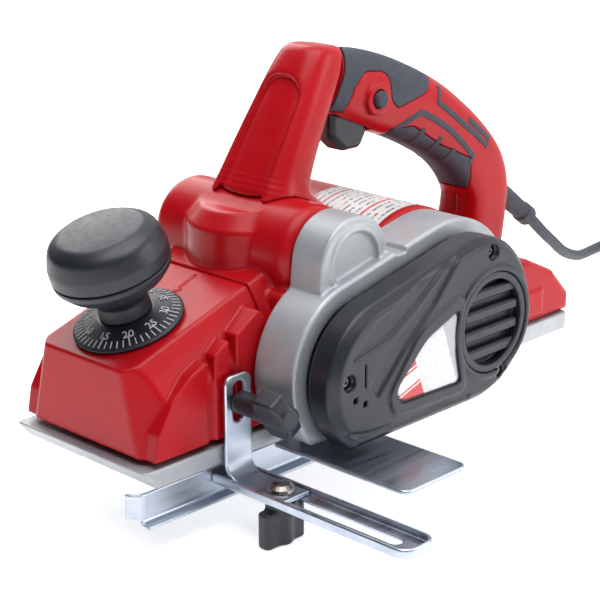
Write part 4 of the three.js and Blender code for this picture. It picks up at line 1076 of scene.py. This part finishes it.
@dataclass
class Housing:
    """The red body: front cover, main housing with its pillar and duct, and rear housing."""

    fine: float = 0.85
    medium: float = 1.15

    def arch(self) -> Form:
        """Returns the raised panels on the front cover's left side."""
        panel = prism(Axis.Y, [(9, 14.6), (12, 30, 9), (22, 46, 9), (36, 57, 8), (48.5, 62.5, 1), (48.5, 14.6)],
                      -55.8, -42, 1.0)
        middle = prism(Axis.Y, [(54, 14.6), (54, 64, 2), (65, 71, 1), (65, 14.6)], -55.4, -42, 1.0)
        rear = prism(Axis.Y, [(70, 14.6), (70, 72, 2), (88, 83, 2), (95, 74), (95, 14.6)], -55.9, -42, 1.0)
        return panel.join(middle).join(rear)

    def front(self) -> Form:
        """Returns the front cover."""
        upward = (-math.sin(SLOPE), 0, math.cos(SLOPE))
        form = shoulders(COVER_FRONT, COVER_REAR - 0.3).join(self.arch().both_sides(), 0.8)
        mark = prism(Axis.Z, [(70, 0, 1), (79, -5, 1), (76.5, 0, 1), (79, 5, 1)], 70, 110, 0.3)
        ridge = prism(Axis.Z, [(66, -0.9), (91, -0.9), (91, 0.9), (66, 0.9)], 70, 110, 0.3)
        top = half_space((COVER_FRONT, 0, COVER_TOP + 0.9), upward)
        form = form.join(mark.join(ridge).meet(top, 0.6), 0.4)
        well = half_space((41, 0, 73), upward)
        bore = rod(Axis.Z, (43.0, 0), 17.0, 40, 100, 0.5)
        seat = disc(KNOB_BASE, np.array(upward), 25.0, 5.0, 1.0)
        return form.cut(bore.cut(well), 0.6).join(seat, 2.0)

    def pillar(self) -> Form:
        """Returns the oval pillar with its bevelled top."""
        a = np.linspace(0, 2 * np.pi, 97)[:-1]
        oval = prism(Axis.Z, np.stack([140 + 42 * np.cos(a), 40 * np.sin(a)], axis=1), 60, 190, 0.5)
        return oval.bevel_meet(half_space((140, 0, 127), (-0.05, 0, 1)), 9.0, 1.2)

    def main(self, grow: float = 0.0) -> Form:
        """Returns the main housing's outer form, grown by a clearance."""
        front = COVER_REAR + 0.3
        body = prism(Axis.Y, [(front, 14.5), (262, 14.5), (262, 88, 4), (front + 8, 88, 6)],
                     -HOUSING_SIDE, HOUSING_SIDE, 3.0)
        form = body.join(rod(Axis.Y, MOTOR, 55, -HOUSING_SIDE, HOUSING_SIDE, 6.0), 4.0)
        form = form.join(rod(Axis.Y, DUCT, 29, -HOUSING_SIDE, HOUSING_SIDE, 9.0), 4.0)
        form = form.join(self.pillar(), 2.5)
        ahead = shoulders(front - 30, 140).meet(half_space((front, 0, 0), (-1, 0, 0)))
        form = form.join(ahead, 2.0)
        form = form.meet(block((front, -90, HOUSING_FLOOR), (262, 90, 200), 1.0), 0.6)
        return form.grown(grow) if grow else form

    def housing(self) -> Form:
        """Returns the main housing with its chambers and duct, and a seam line and a row of slots cut in its right
        side.
        """
        form = self.main()
        form = form.cut(rod(Axis.Y, DRUM, 34, -70, 70, 0.5), 0.8)
        form = form.cut(rod(Axis.Y, DUCT, 23, -70, 70, 0.5), 2.0)
        form = form.cut(rod(Axis.Y, MOTOR, 46, -70, 48, 0.5), 0.5)
        seam = block((150, 55.2, 60), (151.2, 60, 100), 0.3)
        for k in range(6):
            x = 186 + k * 9.5
            seam = seam.join(block((x, 50, 36), (x + 4.6, 62, 78), 2.0))
        return form.cut(seam, 1.0)

    def rear(self, grow: float = 0.0) -> Form:
        """Returns the rear housing, which falls from the motor to the tail."""
        side = [(262.3, 11.3), (383, 11.3), (383, 24, 4), (365, 43, 5), (338, 56, 8), (300, 64, 20), (272, 88, 10),
                (262.3, 93)]
        form = prism(Axis.Y, side, -54, 54, 5.0)
        return form.grown(grow) if grow else form

    def tail(self) -> Form:
        """Returns the rear housing with its step and cooling slots."""
        form = self.rear()
        form = form.join(block((266, -55.2, 16), (352, -50, 34), 1.5).both_sides(), 1.0)
        for k in range(5):
            z = 39 + k * 4.6
            form = form.cut(block((284 - k * 2, -62, z), (322 - k * 4, -50, z + 2.2), 0.9).both_sides(), 0.6)
        return form

    def build(self) -> None:
        """Makes the three red housings."""
        moulded("front_hood", self.front(), (4, -58, 12), (98, 58, 96), self.fine, RED, "front_cover")
        moulded("motor_housing", self.housing(), (94, -60, 12), (274, 60, 130), self.medium, RED, "main_housing")
        moulded("tail_housing", self.tail(), (260, -58, 9), (386, 58, 96), self.medium, RED, "rear_housing")


@dataclass
class DriveSide:
    """The left side: cast frame, belt cover with its grille, name plate and screws."""

    def casting(self) -> Form:
        """Returns the cast frame that the belt cover screws on to."""
        form = prism(Axis.Y, tangent_outline(7), CASTING_EDGE, CASTING_INSIDE, 1.6)
        arm = prism(Axis.Y, [(111, 104), (107, 60), (178, 90), (165, 104)], -82, CASTING_INSIDE, 1.0)
        boss = rod(Axis.Y, CAST_BOSS, 27, -82, CASTING_INSIDE, 1.6).join(arm)
        ring = rod(Axis.Y, CAST_BOSS, 21.5, -83.4, -70, 0.8)
        ring = ring.cut(rod(Axis.Y, CAST_BOSS, 18.2, -90, -60, 0.3), 0.8)
        boss = boss.cut(rod(Axis.Y, CAST_BOSS, 18, -90, -80, 0.6), 1.0).join(ring, 0.8)
        form = form.join(boss, 1.6)
        form = form.cut(prism(Axis.Y, tangent_outline(-4.5), -100, -66, 1.0), 1.0)
        form = form.cut(block((166, -90, 104), (174, -72, 130), 0.8), 1.0)
        for centre, r in ((DRUM, 14.1), (MOTOR, 12.1)):
            form = form.cut(rod(Axis.Y, centre, r, -90, -40, 0.3), 0.6)
        return form

    def cover(self) -> Form:
        """Returns the belt cover: a bevelled shell with flutes, a plate pocket and screw wells."""
        wall = silhouette(tangent_outline(0))
        inside = half_space((0, CASTING_EDGE - 0.3, 0), (0, 1, 0))
        faces = half_space((0, COVER_FACE, 0), (0, -1, 0)).meet(inside, 0.6)
        form = wall.bevel_meet(faces, 5.0, 1.0)
        form = form.cut(prism(Axis.Y, tangent_outline(-4.2), COVER_FACE + 4.2, -60, 0.6), 0.3)
        for x, z in COVER_SCREWS:
            form = form.join(rod(Axis.Y, (x, z), 6.5, COVER_FACE + 3, CASTING_EDGE - 0.3, 0.3), 0.5)
        for blade in ([(119, 44), (136, 62, 30), (162, 80, 40), (197, 106), (172, 79, 40), (146, 58, 30), (124, 36)],
                      [(104, 62), (124, 79, 20), (152, 90, 30), (186, 104), (158, 83, 30), (132, 68, 20)]):
            form = form.cut(prism(Axis.Y, blade, COVER_FACE - 4, COVER_FACE + 1.7, 0.6), 2.2)
        sweep = [(96, 20), (118, 15.5), (150, 14.5), (184, 15.5), (205, 14)]
        form = form.cut(prism(Axis.Y, ribbon(sweep, 3.2), COVER_FACE - 4, COVER_FACE + 1.4, 0.8), 1.4)
        outer = [(122, 21, 11), (200, 19.5, 4), (196, 44, 10), (196, 80, 3), (158, 65, 34)]
        lip = prism(Axis.Y, outer, COVER_FACE - 1.2, COVER_FACE + 2, 0.8)
        form = form.join(lip, 2.4)
        pocket = [(129, 27, 7), (196, 25, 3), (192, 44, 8), (193, 71, 2), (164, 60, 30)]
        form = form.cut(prism(Axis.Y, pocket, COVER_FACE - 5, COVER_FACE + 0.8, 0.5), 0.5)
        rim = rod(Axis.Y, GRILLE, 34.5, COVER_FACE - 1.2, COVER_FACE + 3, 1.0)
        form = form.join(rim.meet(wall.grown(0.3)), 1.0).cut(rod(Axis.Y, GRILLE, 31, -125, -100, 0.8), 0.8)
        for x, z in COVER_SCREWS:
            form = form.cut(rod(Axis.Y, (x, z), 4.9, -125, COVER_FACE + 2.4, 0.8), 0.6)
            form = form.cut(rod(Axis.Y, (x, z), 3.8, -125, COVER_FACE + 7, 0.2), 0.4)
        for x, z in ((104, 37), (112, 33)):
            form = form.cut(block((x, -125, z), (x + 3.4, COVER_FACE + 3, z + 3.4), 0.4), 0.4)
        form = form.cut(block((113.2, -125, 44), (114.6, COVER_FACE + 3, 58), 0.3), 0.4)
        return form

    def build(self, repeater: Repeater) -> None:
        """Makes the casting, the cover, its plate, its grille and its screws."""
        moulded("cast_side", self.casting(), (78, -90, 6), (273, -56, 134), 1.15, CAST, "side_casting")
        moulded("drive_cover", self.cover(), (86, -115, 6), (266, -87, 110), 0.85, DARK, "belt_cover")
        plate = [(130, 28, 7), (195, 26, 3), (191.2, 44, 8), (192, 69.5, 2), (164, 59, 30)]
        moulded("name_plate", prism(Axis.Y, plate, COVER_FACE + 0.1, COVER_FACE + 1.2, 0.35), (128, -114, 24),
                (197, -109, 72), 0.7, PLATE, "cover_label")
        ring = rod(Axis.Y, GRILLE, 30.7, COVER_FACE - 0.4, COVER_FACE + 7, 0.8)
        ring = ring.cut(rod(Axis.Y, GRILLE, 26.2, -125, -90, 0.3), 0.8)
        ring = ring.join(rod(Axis.Y, GRILLE, 30.6, COVER_FACE + 6.2, COVER_FACE + 7.4, 0.4))
        moulded("grille_ring", ring, (192, -114, 22), (258, -103, 88), 0.9, DARK, "cover_grille")
        middle = Matrix.Translation((GRILLE[0], COVER_FACE + 3.4, GRILLE[1]))
        slats = repeater.mesh("grille_slats", bar((49, 4.6, 6.4), bevel=1.2), 4, DARK, middle, (0, 0, -18.0),
                              (0, 0, 12.0))
        limit_slats(slats, GRILLE, 28.0)
        Piece(slats, "grille_slats", DARK).build()
        profile = [(0, -3), (3.4, -3), (3.4, 0.6, 0.6), (1.5, 1.1, 0.3), (1.4, 0.0), (0, 0.0)]
        for number, (x, z) in enumerate(COVER_SCREWS, 1):
            head = turned("screw", profile, upright((x, COVER_FACE + 4.4, z), (0, -1, 0)), 32)
            Piece(head, f"case_screw_{number}", STEEL, "body", (f"cover_screw_{number}",)).build()


def limit_slats(mesh: bpy.types.Mesh, centre: Point, reach: float) -> None:
    """Draws the ends of the slats in to the grille's round frame.

    Args:
        mesh: the slats, in the frame's metres.
        centre: the grille's middle, as [x, z] in millimetres.
        reach: how far from the middle a slat may go, in millimetres.
    """
    middle = to_frame(np.array([centre[0], 0.0, centre[1]]))
    spots = np.empty(len(mesh.vertices) * 3)
    mesh.vertices.foreach_get("co", spots)
    spots = spots.reshape(-1, 3)
    high = spots[:, 2] - middle[2]
    wide = np.sqrt(np.maximum((reach * MM) ** 2 - high ** 2, 1e-6))
    spots[:, 0] = middle[0] + np.clip(spots[:, 0] - middle[0], -wide, wide)
    mesh.vertices.foreach_set("co", spots.ravel())
    mesh.update()


GRIP = (Station(192, 188, 18, 17), Station(212, 183.5, 22.5, 18), Station(235, 176, 24, 18),
        Station(260, 166.5, 23.5, 18), Station(285, 154.5, 23, 18), Station(306, 141.5, 22, 18),
        Station(324, 127, 21.5, 18, 2.9), Station(338, 111, 21, 18, 3.6), Station(344, 96, 19, 18, 4.6),
        Station(343, 80, 18, 18, 5.2), Station(339, 62, 18, 19, 5.2), Station(336, 48, 18, 19, 5.2))
COLUMN = (Station(143, 110, 27, 33), Station(145, 124, 25, 32), Station(149, 138, 20.5, 28),
          Station(156, 152, 18.5, 26), Station(168, 172, 17.5, 23.5), Station(180, 190, 17.5, 21),
          Station(189, 200, 17.5, 19), Station(197, 208, 14, 15), Station(201, 212, 9, 10))


@dataclass
class Handle:
    """The bow handle: column, grip halves, soft saddle and underside, trigger and lock button."""

    housing: Housing = field(default_factory=Housing)
    front_side: tuple[Point, ...] = ((90, 90), (200, 90), (181, 128), (178, 142), (185, 166), (203, 204), (212, 225),
                                     (90, 225))
    saddle_side: tuple[Point, ...] = (
        (203, 230), (190, 172), (200, 170), (206, 184, 6), (216, 193, 8), (238, 190, 10), (240, 172, 6), (246, 166, 3),
        (274, 172, 8), (292, 190), (280, 230))
    under_side: tuple[Point, ...] = ((244, 140), (244, 152), (262, 152, 10), (290, 135, 30), (318, 122), (322, 100))
    trigger_side: tuple[Point, ...] = ((196, 170), (196, 154, 5), (208, 143.5, 6), (223, 143.5, 5), (229, 153, 4),
                                       (222, 170))
    lock: Point = (226, 175)

    def outer(self) -> Form:
        """Returns the whole handle's outer form."""
        return limb(GRIP).join(limb(COLUMN), 3.0)

    def build(self) -> None:
        """Makes the handle's pieces."""
        outer = self.outer()
        front = silhouette(self.front_side)
        base, rear = self.housing.main(0.3), self.housing.rear(0.3)
        room = silhouette(self.trigger_side).grown(0.8).meet(block((180, -10, 120), (240, 10, 175), 0.5))
        column = outer.bevel_meet(front, 6.0, 1.0).cut(base).cut(room, 0.4)
        recess = prism(Axis.X, [(-19, 90), (19, 90), (17, 150, 30), (14, 195, 13), (-14, 195, 13), (-17, 150, 30)],
                       90, 190, 1.0)
        column = column.cut(recess.cut(outer.grown(-3.4), 1.0), 4.5)
        column = column.meet(half_space((185, 0, 211.8), (0.15, 0, 1)), 5.0)
        moulded("grip_column", column, (108, -36, 100), (208, 36, 214), 0.85, RED, "handle_front")
        saddle, under = silhouette(self.saddle_side), silhouette(self.under_side)
        soft = saddle.join(under)
        deep = soft.grown(0.35).cut(outer.grown(-1.8))
        shell = outer.cut(front.grown(0.3), 0.8).cut(base).cut(rear).cut(room, 0.6).cut(deep, 0.5)
        shell = shell.cut(rod(Axis.X, (0, 100.5), 9.0, 340, 420, 0.5), 0.8)
        lock = rod(Axis.Y, self.lock, 5.8, -40, 0, 0.2)
        bezel = rod(Axis.Y, self.lock, 10.2, -20.6, -10, 1.6).cut(lock, 0.8)
        shell = shell.cut(lock, 0.4)
        for name, sign, node in (("grip_left", -1.0, "handle_left"), ("grip_right", 1.0, "handle_right")):
            half = shell.meet(half_space((0, 0.15 * sign, 0), (0, -sign, 0)), 0.5)
            if sign < 0:
                half = half.join(bezel, 0.3)
            low, high = ((175, -22, 40), (366, 1, 212)) if sign < 0 else ((175, -1, 40), (366, 22, 212))
            moulded(name, half, low, high, 0.85, RED, node)
        skin = outer.cut(front.grown(0.3)).cut(outer.grown(-1.5)).cut(rod(Axis.Y, self.lock, 11, -40, 0, 0.3))
        for name, part, node in (("soft_saddle", saddle, "grip_saddle"), ("soft_underside", under, "grip_underside")):
            moulded(name, skin.meet(part, 0.5), (186, -20, 98), (324, 20, 212), 0.8, RUBBER, node)
        self.inlays(outer)
        self.controls()

    def inlays(self, outer: Form) -> None:
        """Makes the raised rubber lines on the grip's sides."""
        paths = ([(246, 151), (256, 156), (267.7, 160.1), (281, 153.5), (294.4, 145.6), (308, 134.5), (320.5, 122.8),
                  (317, 118)],
                 [(288.3, 173.4), (284.7, 163.7), (296, 156), (308, 147.1), (321, 138), (334.4, 127.5), (337.4, 131.7),
                  (329.8, 137.6), (316, 148)],
                 [(271.9, 149), (267, 139)], [(288.7, 141), (283, 130.6)], [(302, 131), (298, 122)])
        width = 4.2
        shape = silhouette(ribbon(paths[0], width))
        for path in paths[1:]:
            shape = shape.join(silhouette(ribbon(path, width)))
        crust = outer.grown(0.4).cut(outer.grown(-0.9)).meet(shape, 0.4)
        for name, sign in (("grip_lines_left", -1.0), ("grip_lines_right", 1.0)):
            side = crust.meet(half_space((0, 5 * sign, 0), (0, -sign, 0)))
            low, high = ((238, -20, 112), (350, 0, 184)) if sign < 0 else ((238, 0, 112), (350, 20, 184))
            moulded(name, side, low, high, 0.7, RUBBER)

    def controls(self) -> None:
        """Makes the trigger and the lock button."""
        sides = Form(lambda p: np.abs(p[:, 1]) - 9.0)
        lever = silhouette(self.trigger_side).bevel_meet(sides, 3.0, 0.9)
        lever = lever.cut(silhouette(self.front_side).grown(0.4))
        moulded("trigger_lever", lever, (180, -10, 140), (232, 10, 172), 0.7, DARK, "trigger", "trigger")
        low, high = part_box("lock_button")
        out, back = low.y / MM, high.y / MM
        place = upright((self.lock[0], 0, self.lock[1]), (0, -1, 0))
        profile = [(0, -back), (5.2, -back), (5.2, -out - 1.6, 0.8), (4.2, -out, 1.5), (0, -out + 0.3)]
        Piece(turned("lock", profile, place, 40), "lock_cap", RUBBER, "lock_button", ("lock_button",)).build()


@dataclass
class DepthKnob:
    """The depth knob: scale dial, bowl and cap on a leaning axis."""

    lean: float = SLOPE
    base: Point = KNOB_BASE

    def place(self, height: float = 0.0, turn: float = 0.0) -> Matrix:
        """Returns the knob's place, raised along its axis and turned about it."""
        return (Matrix.Translation(Vector(self.base)) @ Matrix.Rotation(-self.lean, 4, "Y")
                @ Matrix.Translation((0, 0, height)) @ Matrix.Rotation(turn, 4, "Z"))

    def numerals(self) -> bpy.types.Mesh:
        """Returns the numbers round the dial as one mesh."""
        count, size, first = 10, 6.6, -130
        joined = bmesh.new()
        for k in range(count):
            text = bpy.data.curves.new("numeral", "FONT")
            text.body, text.size, text.extrude = str(5 * k), size, 0.2
            text.align_x, text.align_y = "CENTER", "CENTER"
            carrier = bpy.data.objects.new("numeral", text)
            bpy.context.collection.objects.link(carrier)
            bpy.context.view_layer.update()
            mesh = bpy.data.meshes.new_from_object(carrier.evaluated_get(bpy.context.evaluated_depsgraph_get()))
            bpy.data.objects.remove(carrier)
            around = math.radians(first + 360 / count * (k - 4))
            out, up = Vector((math.cos(around), math.sin(around), 0)), Vector((0, 0, 1))
            right, along = Vector((-out.y, out.x, 0)), (up * 0.339 - out * 0.941).normalized()
            turn = Matrix((right, along, right.cross(along))).transposed().to_4x4()
            mesh.transform(self.place() @ Matrix.Translation(out * 22.6 + up * 6.0) @ turn)
            mesh.transform(Matrix.Translation((SOLE_FRONT, 0, 0)) @ Matrix.Scale(MM, 4))
            joined.from_mesh(mesh)
        made = bpy.data.meshes.new("dial_numerals")
        joined.to_mesh(made)
        joined.free()
        return made

    def build(self, repeater: Repeater) -> None:
        """Makes the dial with its marks and numbers, the bowl, the cap and the small flag behind the dial."""
        dial = [(4.2, 0.4), (31.2, 0.4, 0.4), (32.0, 1.2, 0.4), (32.0, 2.4, 0.5), (30.6, 3.0, 0.4), (16.5, 7.9, 1.0),
                (4.2, 7.9)]
        Piece(turned("dial_plate", dial, self.place(), 96), "dial_plate", DARK, "knob", ("dial",)).build()
        for name, length, wide, count in (("dial_marks_long", 7.6, 0.75, 10), ("dial_marks_short", 4.6, 0.55, 50)):
            mark = bar((length, wide, 0.5), (-length / 2, 0, 0), 0.05)
            mark.transform(Matrix.Translation((30.2, 0, 3.3)) @ Matrix.Rotation(math.radians(19.5), 4, "Y"))
            marks = repeater.mesh(name, mark, count, MARKING, self.place(0, math.radians(-130)),
                                  turn=(0, 0, 2 * math.pi / count))
            Piece(marks, name, MARKING, "knob").build()
        Piece(self.numerals(), "dial_numerals", MARKING, "knob").build()
        bowl = [(4.2, 8.3), (15.2, 8.3, 0.5), (14.6, 17, 3), (18.5, 21.5, 6), (28.5, 28.5, 8), (33.4, 34.2, 4),
                (34.0, 37.2, 0.6), (33.4, 37.9, 0.3), (4.2, 37.9)]
        Piece(turned("knob_bowl", bowl, self.place(), 96), "knob_bowl", DARK, "knob", ("knob_lower",)).build()
        cap = [(0, 38.2), (33.0, 38.2, 0.4), (34.0, 39.2, 0.6), (34.1, 46.0, 5), (31.0, 56.2, 8), (24, 60.4, 9),
               (0, 62.0)]
        Piece(turned("knob_cap", cap, self.place(), 96), "knob_cap", DARK, "knob", ("knob_top",)).build()
        flag = prism(Axis.Y, [(58, 76), (66, 79), (66, 88, 2), (58, 86, 2)], 29, 34, 0.6)
        moulded("depth_flag", flag, (56, 27, 74), (68, 36, 90), 0.6, SIGNAL)


@dataclass
class Fence:
    """The edge fence with its bracket, the knobs that hold it, and the side plate."""

    def folded(self, side: Sequence[Point], low: float, high: float, thick: float) -> Form:
        """Returns a sheet strip folded along a line in the YZ plane."""
        return prism(Axis.X, ribbon(outline(side, 8), thick), low, high, 0.5)

    def strip(self) -> Form:
        """Returns the fence with its turned-in front end and its foot."""
        form = self.folded([(-50, -2.8), (-50, -19.8, 3), (-57, -20.8)], 2, 132, 2.0)
        for x, way in ((2.0, -1.0), (132.0, 1.0)):
            path = [(x - way * 4, -50), (x, -49.6), (x + way * 2.6, -46.5), (x + way * 4.2, -43)]
            form = form.join(prism(Axis.Z, ribbon(path, 2.0), -16.8, -2.8, 0.5), 0.5)
        return form

    def bracket(self) -> Form:
        """Returns the bent bracket with its slot."""
        form = self.folded([(-59.25, 52), (-59.25, -8.25, 10), (-105, -8.25)], 56.5, 76.5, 2.5)
        form = form.meet(prism(Axis.Y, [(56.5, -12), (76.5, -12), (76.5, 52, 6), (56.5, 52, 6)], -110, -50, 0.6), 0.6)
        slot = prism(Axis.Y, [(62.4, 24, 4), (70.6, 24, 4), (70.6, 48, 4), (62.4, 48, 4)], -70, -50, 0.3)
        return form.cut(slot, 0.5).cut(rod(Axis.Z, WING, 3.3, -20, 5, 0.2), 0.4)

    def arm(self) -> Form:
        """Returns the channel arm with its long slot."""
        middle, top, bottom = WING[0], -6.0, -11.8

        def tongue(half: float, start: float, end: float, radius: float) -> list[Point]:
            """Returns the corners of a strip that is rounded at its far end."""
            return [(middle - half, start), (middle + half, start), (middle + half, end, radius),
                    (middle - half, end, radius)]
        form = prism(Axis.Z, tongue(12.8, -51.3, -194.5, 8), bottom, top, 1.2)
        inner = tongue(10.8, -40, -192.5, 7)
        form = form.cut(prism(Axis.Z, inner, bottom + 2, 5, 0.4), 0.5)
        slot = [(62.4, -70, 4), (70.6, -70, 4), (70.6, -180, 4), (62.4, -180, 4)]
        return form.cut(prism(Axis.Z, slot, -20, 0, 0.3), 0.5)

    def wing(self) -> None:
        """Makes the lower wing knob."""
        x, y = WING
        half = [(-15, 4.5, 3), (-5.5, 4.5, 8), (0, 7.5, 6), (5.5, 4.5, 8), (15, 4.5, 3)]
        side = [(x + a, y + b, r) for a, b, r in half] + [(x + a, y - b, r) for a, b, r in reversed(half)]
        wings = prism(Axis.Z, side, -38.1, -17.0, 1.6)
        form = rod(Axis.Z, WING, 9, -20.5, -12.1, 1.2).join(wings, 2.5)
        form = form.cut(rod(Axis.Z, WING, 3.2, -30, 0, 0.2), 0.3)
        moulded("wing_grip", form, (49, -104, -39), (84, -82, -11), 0.75, DARK, "wing_knob", "wing_knob")

    def clamp(self) -> None:
        """Makes the clamp screw's tilted wing with its barrel."""
        tilt = math.radians(-58)
        n = np.array(Vector((math.cos(tilt), 0, math.sin(tilt))))
        barrel = rod(Axis.Y, CLAMP, 6.6, -101, -61.1, 1.0)

        def wings(p: Array) -> Array:
            """Returns the distance to the two wings, waisted in the middle."""
            q = p - (CLAMP[0], -90.0, CLAMP[1])
            along = q @ n
            off = q[:, 0] * -n[2] + q[:, 2] * n[0]
            waist = 3.2 + 1.2 * np.clip(np.abs(along) / 14.0, 0, 1)
            size = np.stack([np.abs(along) - 12.5, np.abs(q[:, 1]) - 9.5 + 0.02 * along ** 2, np.abs(off) - waist],
                            axis=1)
            return (np.linalg.norm(np.maximum(size, 0), axis=1) + np.minimum(size.max(axis=1), 0) - 1.5) * 0.8
        moulded("clamp_wing", barrel.join(Form(wings), 2.0), (49, -103, 18), (84, -60, 54), 0.75, DARK,
                "clamp_screw", "clamp_screw")

    def build(self) -> None:
        """Makes every piece of the fence."""
        moulded("fence_strip", self.strip(), (-5, -60, -23), (140, -40, -1), 0.8, ZINC, "fence", "arm")
        moulded("fence_channel", self.arm(), (52, -197, -13), (81, -49, -4), 0.8, ZINC, "fence_arm", "arm")
        moulded("fence_angle", self.bracket(), (55, -107, -11), (78, -56, 54), 0.8, ZINC, "fence_bracket", "bracket")
        self.wing()
        self.clamp()
        plate = prism(Axis.Z, [(93, -160, 5), (145, -160, 5), (145, -61), (93, -61)], 0.9, 3.4, 0.5)
        for x in (109, 133):
            plate = plate.cut(rod(Axis.Z, (x, -73), 2.4, -5, 10, 0.2), 0.3)
        moulded("guard_plate", plate, (91, -162, 0), (147, -60, 5), 0.9, ZINC, "side_plate")


@dataclass
class Relief:
    """The lead's tapered sleeve, with a collar at its end."""

    start: Point = (350.0, 0.0, 102.0)
    end: Point = (405.3, 0.0, 61.7)

    def build(self) -> None:
        """Makes the sleeve."""
        axis = Vector(self.end) - Vector(self.start)
        length = axis.length
        profile = [(0, 0), (8.2, 0, 1.0), (8.2, 5, 0.8), (7.6, 6, 1.0), (6.3, length - 11, 1.0),
                   (7.2, length - 10, 0.4), (7.2, length - 0.8, 1.0), (4.2, length), (0, length)]
        Piece(turned("lead_sleeve", profile, upright(self.start, axis), 40), "lead_sleeve", RUBBER, "body",
              ("strain_relief",)).build()


def dress_the_rest() -> None:
    """Gives every CAD piece that still shows its slot's finish."""
    for name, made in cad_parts.items():
        if made.hide_render:
            continue
        was = made.data.materials[0].name if made.data.materials else ""
        finish = FINISHES.get(was.split(".")[0], STEEL)
        made.data.materials.clear()
        made.data.materials.append(finish.material())
        log.info("%s: kept, in %s", name, finish.slot)


def main() -> None:
    """Builds the studio, the lead and every sub-assembly in order."""
    logging.basicConfig(level=logging.INFO, format="%(message)s", force=True)
    Studio().build()
    Lead().build()
    repeater = Repeater()
    Soles().build()
    Housing().build()
    DriveSide().build(repeater)
    Handle().build()
    DepthKnob().build(repeater)
    Fence().build()
    Relief().build()
    dress_the_rest()


if __name__ == "__main__":
    main()
